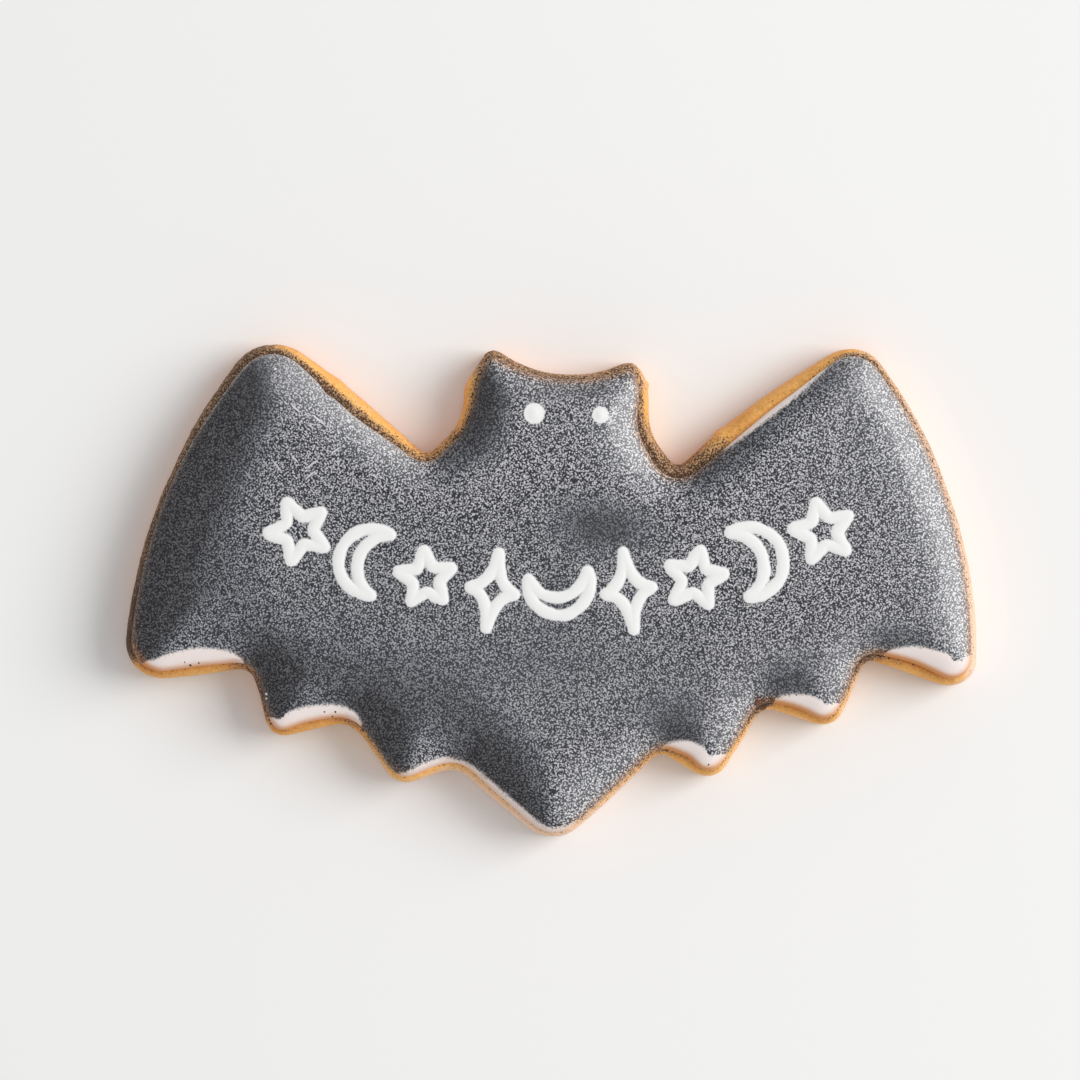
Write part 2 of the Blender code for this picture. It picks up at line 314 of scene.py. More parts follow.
def relaxed(values: np.ndarray, mesh: bpy.types.Mesh, passes: int) -> np.ndarray:
    """Softens a value over a mesh by averaging it with its neighbours.

    Args:
        values: One value per vertex.
        mesh: The mesh.
        passes: How many times it is averaged.

    Returns:
        The softened values.
    """
    ends = np.empty(len(mesh.edges) * 2, np.int32)
    mesh.edges.foreach_get("vertices", ends)
    a, b = ends.reshape(-1, 2).T
    count = len(values)
    degree = np.maximum(np.bincount(a, minlength=count) + np.bincount(b, minlength=count), 1)
    for _ in range(passes):
        around = np.bincount(a, values[b], count) + np.bincount(b, values[a], count)
        values = 0.5 * values + 0.5 * around / degree
    return values


def store(mesh: bpy.types.Mesh, name: str, values: np.ndarray) -> None:
    """Keeps one number per vertex on a mesh, for its material to read."""
    layer = mesh.attributes.new(name, "FLOAT", "POINT")
    layer.data.foreach_set("value", values.astype(np.float32))


def finished(name: str, bm: bmesh.types.BMesh) -> bpy.types.Object:
    """Puts a bmesh into an object at the origin.

    Args:
        name: The name of the piece.
        bm: The bmesh, which is freed.

    Returns:
        The object, linked to the scene.
    """
    bmesh.ops.recalc_face_normals(bm, faces=bm.faces)
    mesh = bpy.data.meshes.new(name)
    bm.to_mesh(mesh)
    bm.free()
    mesh.shade_smooth()
    mesh.set_sharp_from_angle(angle=SHARP_ANGLE)
    piece = bpy.data.objects.new(name, mesh)
    bpy.context.scene.collection.objects.link(piece)
    return piece


def coordinates(mesh: bpy.types.Mesh) -> np.ndarray:
    """Lists the place of every vertex of a mesh, one per row."""
    flat = np.empty(len(mesh.vertices) * 3, np.float32)
    mesh.vertices.foreach_get("co", flat)
    return flat.reshape(-1, 3).astype(float)


# Finishes

# Half the width of a hairline in the icing
HAIRLINE_REACH = 0.14 * MM

Colour = tuple[float, ...]
Stop = tuple[float, Colour]
Source = bpy.types.NodeSocket | float | Colour


class Recipe:
    """A material under construction, whose nodes read the piece's own coordinates and attributes.

    The noises run on turned coordinates, so their lattice doesn't line up with the flat top.
    """

    LATTICE_TURN = (0.61, 0.43, 0.77)

    def __init__(self, name: str) -> None:
        """Starts an empty material.

        Args:
            name: The name of the material.
        """
        self.material = bpy.data.materials.new(name)
        self.material.use_nodes = True
        self.tree = self.material.node_tree
        self.shader = self.tree.nodes["Principled BSDF"]
        self.plain = self.add("ShaderNodeTexCoord", output="Object")
        turned = {"Vector": self.plain, "Rotation": self.LATTICE_TURN}
        self.place = self.add("ShaderNodeMapping", turned)

    def feed(self, socket: bpy.types.NodeSocket, source: Source) -> None:
        """Wires a socket to another, or sets its constant."""
        if isinstance(source, bpy.types.NodeSocket):
            self.tree.links.new(source, socket)
        else:
            socket.default_value = source

    def add(
        self,
        kind: str,
        inputs: dict[str | int, Source] | None = None,
        output: str | int = 0,
        **settings: Any,
    ) -> bpy.types.NodeSocket:
        """Adds a node.

        Args:
            kind: The type of the node.
            inputs: What goes into its sockets.
            output: The socket that is wanted.
            **settings: The node's own properties.

        Returns:
            The wanted output socket.
        """
        node = self.tree.nodes.new(kind)
        for key, value in settings.items():
            setattr(node, key, value)
        for key, source in (inputs or {}).items():
            self.feed(node.inputs[key], source)
        return node.outputs[output]

    def attribute(self, name: str) -> bpy.types.NodeSocket:
        """Reads a number that the piece's mesh carries."""
        return self.add("ShaderNodeAttribute", output="Fac", attribute_name=name)

    def noise(
        self, size: float, detail: float = 1.0, roughness: float = 0.5
    ) -> bpy.types.NodeSocket:
        """Adds soft noise round one half.

        Args:
            size: The size of its cells.
            detail: How many finer layers it has.
            roughness: How strong the finer layers are.

        Returns:
            The noise's value.
        """
        scale = {"Scale": 1 / size, "Detail": detail, "Roughness": roughness}
        return self.add("ShaderNodeTexNoise", {"Vector": self.place, **scale})

    def cells(self, size: float) -> bpy.types.NodeSocket:
        """Adds the distance from the middles of scattered cells of the given size."""
        return self.add("ShaderNodeTexVoronoi", {"Vector": self.place, "Scale": 1 / size})

    def near(self, x: float, y: float, radius: float) -> bpy.types.NodeSocket:
        """Gives 1 within a radius of a place on the drawing, seen from above, and 0 outside."""
        flat = {0: self.plain, 1: (1, 1, 0)}
        level = self.add("ShaderNodeVectorMath", flat, operation="MULTIPLY")
        ends = {0: level, 1: (*placed(x, y), 0)}
        away = self.add("ShaderNodeVectorMath", ends, output="Value", operation="DISTANCE")
        return self.span(away, radius * MM * 1.2, radius * MM * 0.7)

    def hairline(self, x: float, y: float, length: float, turn: float) -> bpy.types.NodeSocket:
        """Adds one fine line on the drawing, seen from above.

        Args:
            x: Drawing x of its middle, in millimetres.
            y: Drawing y of its middle.
            length: Its length, in millimetres.
            turn: Its turn in degrees.

        Returns:
            1 along the line, and 0 away from it.
        """
        oval = {
            "Vector": self.plain,
            "Location": (*placed(x, y), 0),
            "Rotation": (0, 0, math.radians(turn)),
            "Scale": (length / 2 * MM, HAIRLINE_REACH, 1),
        }
        scaled = self.add("ShaderNodeMapping", oval, vector_type="TEXTURE")
        away = self.add("ShaderNodeVectorMath", {0: scaled}, output="Value", operation="LENGTH")
        return self.span(away, 1.0, 0.6)

    def burnt(self, spots: Iterable[tuple[float, float, float]]) -> bpy.types.NodeSocket:
        """Gives 1 within the given spots (drawing x, y and radius), with a ragged edge."""
        ragged = self.noise(0.5 * MM)
        share: Source = 0.0
        for x, y, radius in spots:
            share = self.math("MAXIMUM", share, self.near(x, y, radius))
        return self.math("MULTIPLY", share, self.span(ragged, 0.2, 0.5))

    def math(self, operation: str, first: Source, second: Source = 0.0) -> bpy.types.NodeSocket:
        """Adds one step of arithmetic."""
        return self.add("ShaderNodeMath", {0: first, 1: second}, operation=operation)

    def span(self, value: Source, low: Source, high: Source) -> bpy.types.NodeSocket:
        """Turns a value into a share that rises smoothly from 0 at low to 1 at high."""
        inputs = {"Value": value, "From Min": low, "From Max": high}
        return self.add("ShaderNodeMapRange", inputs, interpolation_type="SMOOTHSTEP")

    def jitter(self, value: Source, source: Source, amount: float) -> bpy.types.NodeSocket:
        """Adds noise round zero, of the given strength, to a value."""
        centred = self.math("SUBTRACT", source, 0.5)
        return self.math("ADD", value, self.math("MULTIPLY", centred, amount))

    def inverse(self, share: Source) -> bpy.types.NodeSocket:
        """Turns a share into what is missing from 1."""
        return self.math("SUBTRACT", 1.0, share)

    def blend(self, share: Source, first: Source, second: Source) -> bpy.types.NodeSocket:
        """Mixes two colours."""
        inputs = {0: share, 6: first, 7: second}
        return self.add("ShaderNodeMix", inputs, output=2, data_type="RGBA")

    def ramp(self, share: Source, stops: Sequence[Stop]) -> bpy.types.NodeSocket:
        """Turns a share into a colour.

        Args:
            share: The value from 0 to 1.
            stops: Place and colour of each stop.

        Returns:
            The colour.
        """
        colour = self.add("ShaderNodeValToRGB", {0: share})
        elements = colour.node.color_ramp.elements
        while len(elements) < len(stops):
            elements.new(0.5)
        for element, (position, value) in zip(elements, stops):
            element.position = position
            element.color = value
        return colour

    def bump(self, height: Source, depth: float, strength: float) -> bpy.types.NodeSocket:
        """Turns a height from 0 to 1 into a shading normal, for relief of the given depth."""
        inputs = {"Height": height, "Distance": depth, "Strength": strength}
        return self.add("ShaderNodeBump", inputs, output="Normal")

    def finish(
        self, colour: Source, roughness: Source, specular: float, normal: Source | None = None
    ) -> bpy.types.Material:
        """Wires the shader.

        Args:
            colour: The base colour.
            roughness: The roughness.
            specular: The strength of the gloss, where 0.5 is that of glass.
            normal: The shading normal.

        Returns:
            The finished material.
        """
        self.feed(self.shader.inputs["Base Color"], colour)
        self.feed(self.shader.inputs["Roughness"], roughness)
        self.shader.inputs["Specular IOR Level"].default_value = specular
        if normal is not None:
            self.feed(self.shader.inputs["Normal"], normal)
        return self.material


@dataclass(frozen=True)
class Chip:
    """A tiny speck on the icing: its drawing place and radius in millimetres, and its colour."""

    x: float
    y: float
    radius: float
    colour: Colour


CHIP_WHITE = screen(236, 232, 230)
CHIP_BLACK = screen(48, 34, 28)

# Drawing x, drawing y and radius of the burnt crumb in the notch of the right wing
BURNT_SPOTS = ((26.9, -14.45, 0.8), (28.3, -14.3, 0.55), (27.4, -15.1, 0.5))


@dataclass(frozen=True)
class Speckle:
    """The grain that the spray leaves on icing and crust: light dots with dark pockets between.

    Attributes:
        dot: The spacing of the light dots.
        pocket: The size of the dark pockets.
        mottle: The size of the broader cloudiness.
        cloudiness: How strong that is.
        low: The level at which all is dark.
        high: The level at which all is light.
    """

    dot: float = 0.24 * MM
    pocket: float = 0.22 * MM
    mottle: float = 1.6 * MM
    cloudiness: float = 0.12
    low: float = -0.2
    high: float = 0.42

    def light(self, recipe: Recipe, shift: Source) -> bpy.types.NodeSocket:
        """Adds the grain: 0 in its dark pockets and 1 on its light dots.

        Args:
            recipe: The material that it goes into.
            shift: What makes the dots grow, or shrink where it is negative.

        Returns:
            The share of light.
        """
        level = recipe.math("SUBTRACT", recipe.noise(self.pocket, 0.0), recipe.cells(self.dot))
        level = recipe.jitter(level, recipe.noise(self.mottle), self.cloudiness)
        return recipe.span(recipe.math("ADD", level, shift), self.low, self.high)


@dataclass(frozen=True)
class SprayedIcing:
    """Hard pinkish-white icing under a fine black speckle, and whiter icing on the marks.

    Attributes:
        dark: The dark grains, from the thinnest spray and painted light to the thickest spray and
            painted shade.
        light: The light grains, likewise.
        warm_dark: The dark grains where the crust shines through.
        cream: The light grains where it shines through a little.
        stained: The light grains and the bare icing where it shines through fully.
        bare: The icing that the spray missed.
        white: The marks and eyes.
        chips: Single specks.
        hairlines: Drawing x and y, length and turn of the fine light lines on the left wing.
        burnt_dark: The dark grains of the burnt crumb.
        burnt_light: Its light grains.
    """

    dark: tuple[Stop, ...] = (
        (0.0, screen(136, 136, 141)), (0.12, screen(92, 93, 98)), (0.4, screen(66, 67, 74)),
        (0.5, screen(38, 39, 47)), (0.65, screen(46, 48, 55)), (0.8, screen(41, 43, 49)),
        (1.0, screen(32, 31, 35)),
    )  # fmt: skip
    light: tuple[Stop, ...] = (
        (0.0, screen(242, 242, 244)), (0.2, screen(226, 226, 230)), (0.4, screen(212, 212, 216)),
        (0.5, screen(207, 207, 211)), (0.65, screen(170, 171, 177)), (0.8, screen(130, 132, 137)),
        (1.0, screen(98, 98, 102)),
    )  # fmt: skip
    warm_dark: Colour = screen(96, 68, 50)
    cream: Colour = screen(240, 218, 200)
    stained: Colour = screen(218, 146, 80)
    bare: Colour = screen(240, 228, 224)
    white: Colour = screen(240, 240, 239)
    chips: tuple[Chip, ...] = (
        Chip(-35.5, 28.5, 0.15, CHIP_WHITE),
        Chip(-36.7, -13.4, 0.17, CHIP_WHITE),
        Chip(-36.7, -14.0, 0.13, CHIP_WHITE),
        Chip(-46.5, -9.7, 0.16, CHIP_BLACK),
        Chip(-47.2, -9.3, 0.1, CHIP_BLACK),
        Chip(-45.4, -9.4, 0.12, CHIP_BLACK),
        Chip(-29.2, -15.7, 0.12, CHIP_BLACK),
        Chip(-27.8, -15.7, 0.14, CHIP_BLACK),
        Chip(-28.2, -16.3, 0.12, CHIP_BLACK),
        Chip(20.3, -22.5, 0.12, CHIP_BLACK),
        Chip(31.6, -13.5, 0.1, CHIP_BLACK),
    )
    hairlines: tuple[tuple[float, float, float, float], ...] = (
        (-39.0, 14.8, 2.0, -50), (-36.5, 19.9, 1.4, 5), (-35.3, 16.0, 2.6, -51),
        (-33.0, 16.9, 1.8, -48), (-30.8, 16.2, 2.5, 37), (-31.0, 14.8, 2.3, 40),
        (-29.9, 21.9, 2.6, -39), (-27.7, 18.0, 1.9, 34), (-40.6, 22.9, 1.6, -48),
        (-32.9, 23.4, 1.7, -39),
    )  # fmt: skip
    burnt_dark: Colour = screen(62, 32, 18)
    burnt_light: Colour = screen(138, 90, 58)

    def material(self) -> bpy.types.Material:
        """Builds the material, which reads the attributes spray, mist, warm, bare and mark."""
        recipe = Recipe("sprayed_icing")
        # The spray attribute mixes the spray's thickness with painted shade and painted light:
        # darker on margins that face left, lighter on margins that face right and on the edge that
        # faces the light.
        spray_and_painted_light, warm = recipe.attribute("spray"), recipe.attribute("warm")
        bare = recipe.jitter(recipe.attribute("bare"), recipe.noise(0.4 * MM), 0.3)
        mark = recipe.jitter(recipe.attribute("mark"), recipe.noise(0.4 * MM), 0.2)
        unsprayed, piped = recipe.span(bare, -0.85, 0.3), recipe.span(mark, -0.25, 0.06)
        clear = recipe.math("MAXIMUM", unsprayed, piped)
        dust = Speckle().light(recipe, clear)
        dark = recipe.blend(warm, recipe.ramp(spray_and_painted_light, self.dark), self.warm_dark)
        dark = recipe.blend(recipe.math("MULTIPLY", clear, 0.8), dark, self.bare)
        thinness = recipe.math("SUBTRACT", 1.2, spray_and_painted_light)
        tint = recipe.math("MULTIPLY", recipe.span(warm, 0.0, 0.6), thinness)
        light = recipe.blend(tint, recipe.ramp(spray_and_painted_light, self.light), self.cream)
        light = recipe.blend(recipe.span(bare, -0.8, -0.2), light, self.bare)
        light = recipe.blend(recipe.span(warm, 0.15, 1.0), light, self.stained)
        light = recipe.blend(recipe.span(mark, -0.2, 0.05), light, self.white)
        burnt = recipe.burnt(BURNT_SPOTS)
        dark = recipe.blend(burnt, dark, self.burnt_dark)
        light = recipe.blend(burnt, light, self.burnt_light)
        haze = recipe.math("MULTIPLY", recipe.attribute("mist"), recipe.inverse(clear))
        to_middle = recipe.math("SUBTRACT", 0.5, dust)
        blurred = recipe.math("ADD", dust, recipe.math("MULTIPLY", haze, to_middle))
        for hairline in self.hairlines:
            blurred = recipe.math("MAXIMUM", blurred, recipe.hairline(*hairline))
        colour = recipe.blend(blurred, dark, light)
        for chip in self.chips:
            spot = recipe.near(chip.x, chip.y, chip.radius)
            colour = recipe.blend(spot, colour, chip.colour)
        rough = recipe.math("MULTIPLY_ADD", dust, 0.12)
        rough.node.inputs[2].default_value = 0.5
        return recipe.finish(colour, rough, 0.3, recipe.bump(dust, 0.02 * MM, 0.4))


@dataclass(frozen=True)
class BakedCrust:
    """Dry, golden baked dough that is browner in streaks and black where the spray fell on it.

    Attributes:
        pale: The palest crumb.
        golden: The usual crust.
        brown: The most baked crust.
        painted_glow: A painted glow: brighter, more orange crust low on the sides that face away
            from the light.
        dust: The crust between the grains of a thick spray.
        soot: The grains of spray.
        burnt: The burnt crumb.
    """

    pale: Colour = screen(247, 208, 180)
    golden: Colour = screen(250, 188, 106)
    brown: Colour = screen(186, 102, 40)
    painted_glow: Colour = screen(245, 163, 98)
    dust: Colour = screen(190, 154, 126)
    soot: Colour = screen(82, 60, 44)
    burnt: Colour = screen(112, 60, 30)

    def material(self) -> bpy.types.Material:
        """Builds the material, which reads the attributes toast, flank and soot."""
        recipe = Recipe("baked_crust")
        broad = recipe.noise(5 * MM, 2.0, 0.55)
        crumb = recipe.noise(0.4 * MM, 3.0, 0.65)
        baked = recipe.jitter(recipe.jitter(recipe.attribute("toast"), broad, 0.4), crumb, 0.7)
        colour = recipe.ramp(baked, [(0.0, self.pale), (0.4, self.golden), (1.0, self.brown)])
        # Painted glow: low on the sides that face away from the light the crust turns a brighter
        # orange, lightening that shade and warming the floor's shadow.
        colour = recipe.blend(recipe.attribute("painted_glow"), colour, self.painted_glow)
        soot = recipe.jitter(recipe.attribute("soot"), recipe.noise(1.1 * MM), 0.2)
        colour = recipe.blend(recipe.span(soot, 0.0, 0.7), colour, self.dust)
        colour = recipe.blend(recipe.burnt(BURNT_SPOTS), colour, self.burnt)
        thin = recipe.math("MULTIPLY", recipe.math("SUBTRACT", 0.5, soot), 1.2)
        colour = recipe.blend(Speckle().light(recipe, thin), self.soot, colour)
        relief = recipe.bump(crumb, 0.16 * MM, 0.8)
        return recipe.finish(colour, 0.78, 0.25, relief)


@dataclass(frozen=True)
class PaleFloor:
    """A matt, nearly white tabletop.

    Attributes:
        tone: Its usual tone.
        lighter: Its tone in broad, faint clouds.
    """

    tone: Colour = screen(242, 242, 242)
    lighter: Colour = screen(244, 244, 244)

    def material(self) -> bpy.types.Material:
        """Builds the material."""
        recipe = Recipe("pale_floor")
        colour = recipe.blend(recipe.noise(90 * MM), self.tone, self.lighter)
        return recipe.finish(colour, 0.9, 0.1)


# The cookie


@dataclass(frozen=True)
class CookieForm:
    """The heights and widths that biscuit and icing share.

    Attributes:
        thickness: The biscuit's height.
        foot: The radius of its lower edge.
        shoulder_width: How far in its upper edge is rounded.
        shoulder_drop: How far down its upper edge is rounded.
        top: The height of the icing's plateau.
        slope_width: How far in the icing's edge is rounded.
        slope_power: How full that rounding is.
    """

    thickness: float = 6.5 * MM
    foot: float = 0.8 * MM
    shoulder_width: float = 1.3 * MM
    shoulder_drop: float = 3.0 * MM
    top: float = 8.9 * MM
    slope_width: float = 4.5 * MM
    slope_power: float = 2.2

    def shoulder(self, inset: np.ndarray) -> np.ndarray:
        """Gives the height of the biscuit at a distance inside its widest outline."""
        share = np.clip(inset / self.shoulder_width, 0.0, 1.0)
        return self.thickness - self.shoulder_drop * (1 - np.sqrt(1 - (1 - share) ** 2))

    def slope(self, distance: np.ndarray) -> np.ndarray:
        """Gives how far up the icing's rounding a place is, from 0 at its edge to 1 on top."""
        share = np.clip(distance / self.slope_width, 0.0, 1.0)
        return (1 - (1 - share) ** self.slope_power) ** (1 / self.slope_power)


class MarkKind(Enum):
    """The outlines that are piped on the icing."""

    STAR = "star"
    MOON = "moon"
    SPARKLE = "sparkle"

    def path(self) -> np.ndarray:
        """Draws the outline round the origin, in millimetres, one closed round of points."""
        if self is MarkKind.STAR:
            turns = math.pi / 2 + math.pi / 5 * np.arange(10)
            radii = np.where(np.arange(10) % 2, 0.46, 1.0) * 4.0
            return np.stack((np.cos(turns), np.sin(turns)), 1) * radii[:, None]
        if self is MarkKind.MOON:
            radius, shift = 4.3, 2.5
            horn = math.acos(shift / 2 / radius)
            back = np.linspace(horn, 2 * math.pi - horn, 40)
            bite = np.linspace(math.pi + horn, math.pi - horn, 26)[1:-1]
            outer = np.stack((np.cos(back), np.sin(back)), 1) * radius
            inner = np.stack((np.cos(bite), np.sin(bite)), 1) * radius + (shift, 0)
            return np.concatenate((outer, inner)) - ((shift / 2 - radius) / 2, 0)
        tips = np.array(((0, 5.0), (-3.0, 0), (0, -5.0), (3.0, 0)))
        t = np.linspace(0, 1, 9)[:-1, None]
        sides = [
            here * (1 - t) ** 2 + (here + there) * 0.12 * 2 * t * (1 - t) + there * t * t
            for here, there in zip(tips, np.roll(tips, -1, 0))
        ]
        return np.concatenate(sides)


@dataclass(frozen=True)
class Mark:
    """One mark of the row: its kind, its turn in degrees, and its size."""

    kind: MarkKind
    turn: float
    size: float = 1.0


@dataclass(frozen=True)
class MarkRow:
    """The sagging row of marks, piped in white.

    Attributes:
        left: Drawing place of the first mark.
        right: Drawing place of the last mark.
        sag: How far the row sags between them, in millimetres.
        radius: Half the width of a stroke.
        rise: How far a stroke stands up.
        point_step: The distance between points of a stroke, in millimetres.
        sway: How far the hand strays.
        sway_size: How quickly it strays.
        unevenness: How much a stroke's width varies, as a share of it.
        bead_size: How quickly the width varies.
        margin: How far round a stroke its cover is measured.
        marks: The marks from left to right.
    """

    left: tuple[float, float] = (-32.5, 7.6)
    right: tuple[float, float] = (35.0, 7.6)
    sag: float = 8.2
    radius: float = 0.66 * MM
    rise: float = 0.1 * MM
    point_step: float = 0.3
    sway: float = 0.12 * MM
    sway_size: float = 2.6 * MM
    unevenness: float = 0.16
    bead_size: float = 1.7 * MM
    margin: float = 3.0 * MM
    marks: tuple[Mark, ...] = (
        Mark(MarkKind.STAR, 22),
        Mark(MarkKind.MOON, -18),
        Mark(MarkKind.STAR, 4, 0.92),
        Mark(MarkKind.SPARKLE, -10),
        Mark(MarkKind.MOON, 98, 0.94),
        Mark(MarkKind.SPARKLE, 8, 1.04),
        Mark(MarkKind.STAR, -9, 0.96),
        Mark(MarkKind.MOON, 196, 1.05),
        Mark(MarkKind.STAR, 14, 0.98),
    )

    def middle(self, share: float) -> Vector:
        """Gives the place on the sagging line at a share of its length."""
        half = (self.right[0] - self.left[0]) / 2
        half_angle = 2 * math.atan(self.sag / half)
        radius = half / math.sin(half_angle)
        angle = (2 * share - 1) * half_angle
        drop = radius * (math.cos(angle) - math.cos(half_angle))
        x = (self.left[0] + self.right[0]) / 2 + radius * math.sin(angle)
        return placed(x, self.left[1] - drop)

    def stroke(self, mark: Mark, middle: Vector) -> np.ndarray:
        """Lays out one mark, drawn by a hand that isn't quite steady.

        Args:
            mark: The mark.
            middle: Its place.

        Returns:
            The points of its closed line, finely spaced.
        """
        path = mark.kind.path() * mark.size
        parts = []
        for here, there in zip(path, np.roll(path, -1, 0)):
            count = max(2, round(np.linalg.norm(there - here) / self.point_step))
            parts.append(here + (there - here) * np.linspace(0, 1, count + 1)[:-1, None])
        line = np.concatenate(parts)
        line = 0.5 * line + 0.25 * (np.roll(line, 1, 0) + np.roll(line, -1, 0))
        cosine, sine = math.cos(math.radians(mark.turn)), math.sin(math.radians(mark.turn))
        line = line @ np.array(((cosine, sine), (-sine, cosine)))
        line = line * MM + np.array(middle)
        places = [Vector((x, y, 0)) / self.sway_size for x, y in line]
        aside = Vector((5, 7, 3))
        sway = [(noise.noise(place), noise.noise(place + aside)) for place in places]
        return line + np.array(sway) * self.sway

    def strokes(self) -> list[np.ndarray]:
        """Lays out every mark of the row."""
        last = len(self.marks) - 1
        return [self.stroke(mark, self.middle(k / last)) for k, mark in enumerate(self.marks)]

    def cover(self, flat: np.ndarray) -> np.ndarray:
        """Measures how far inside a stroke places are.

        Args:
            flat: The places, one (x, y) per row.

        Returns:
            The depth inside the nearest stroke's side, negative outside, down to the margin.
        """
        cover = np.full(len(flat), -self.margin)
        for line in self.strokes():
            low, high = line.min(0) - self.margin, line.max(0) + self.margin
            near = np.nonzero(((flat > low) & (flat < high)).all(1))[0]
            start = line[None]
            edge = np.roll(line, -1, 0)[None] - start
            gap = flat[near, None] - start
            share = np.clip((gap * edge).sum(2) / (edge**2).sum(2), 0.0, 1.0)
            away = np.linalg.norm(gap - edge * share[..., None], axis=2)
            beads = [noise.noise(Vector((x, y, 0)) / self.bead_size) for x, y in line]
            radii = self.radius * (1 + self.unevenness * np.array(beads))
            cover[near] = np.maximum(cover[near], (radii[None] - away).max(1))
        return cover


@dataclass(frozen=True)
class Eye:
    """A round white dot of icing: its drawing place and radius, in millimetres."""

    x: float
    y: float
    radius: float

    def cover(self, flat: np.ndarray) -> np.ndarray:
        """Measures how far inside the dot places are, negative outside."""
        return self.radius * MM - np.linalg.norm(flat - np.array(placed(self.x, self.y)), axis=1)


@dataclass(frozen=True)
class BareBand:
    """A lens of bare icing along the edge, where the spray didn't reach.

    Attributes:
        start: Drawing place of one end.
        end: Drawing place of the other end.
        width: Its greatest width, in millimetres.
        crest: Where it is widest, as a share of the way from start to end.
        fullness: How soon it reaches its width, less being sooner.
    """

    start: tuple[float, float]
    end: tuple[float, float]
    width: float
    crest: float = 0.5
    fullness: float = 0.8

    def depth(self, edge: Contour, distance: np.ndarray, nearest: np.ndarray) -> np.ndarray:
        """Measures how far inside the band places are.

        Args:
            edge: The icing's outline.
            distance: How far inside the outline each place is.
            nearest: The outline's point that is nearest to each place.

        Returns:
            The depth in metres, negative outside.
        """
        count = len(edge.points)
        first, last = (edge.index_at(placed(*end)) for end in (self.start, self.end))
        crest = self.crest
        if (last - first) % count > count / 2:
            first, last, crest = last, first, 1 - crest
        share = ((nearest - first) % count) / ((last - first) % count)
        bent = np.where(share < crest, share / crest / 2, 0.5 + (share - crest) / (1 - crest) / 2)
        swell = np.sin(np.pi * np.clip(bent, 0, 1)) ** self.fullness
        closed = -1.1 * MM
        width = np.where(share <= 1, closed + (self.width * MM - closed) * swell, closed)
        return width - distance


@dataclass(frozen=True)
class Smudge:
    """A soft oval where the spray is thicker or thinner.

    Attributes:
        x: Drawing x of its middle, in millimetres.
        y: Drawing y of its middle.
        wide: Its reach along its length.
        high: Its reach across.
        turn: Its turn in degrees.
        amount: What it adds to the thickness of the spray.
    """

    x: float
    y: float
    wide: float
    high: float
    turn: float
    amount: float

    def weight(self, flat: np.ndarray) -> np.ndarray:
        """Gives what the smudge adds at each place."""
        turn = math.radians(self.turn)
        away = (flat - np.array(placed(self.x, self.y))) / MM
        along = away @ np.array((math.cos(turn), math.sin(turn))) / self.wide
        across = away @ np.array((-math.sin(turn), math.cos(turn))) / self.high
        return self.amount * np.exp(-0.5 * (along**2 + across**2))


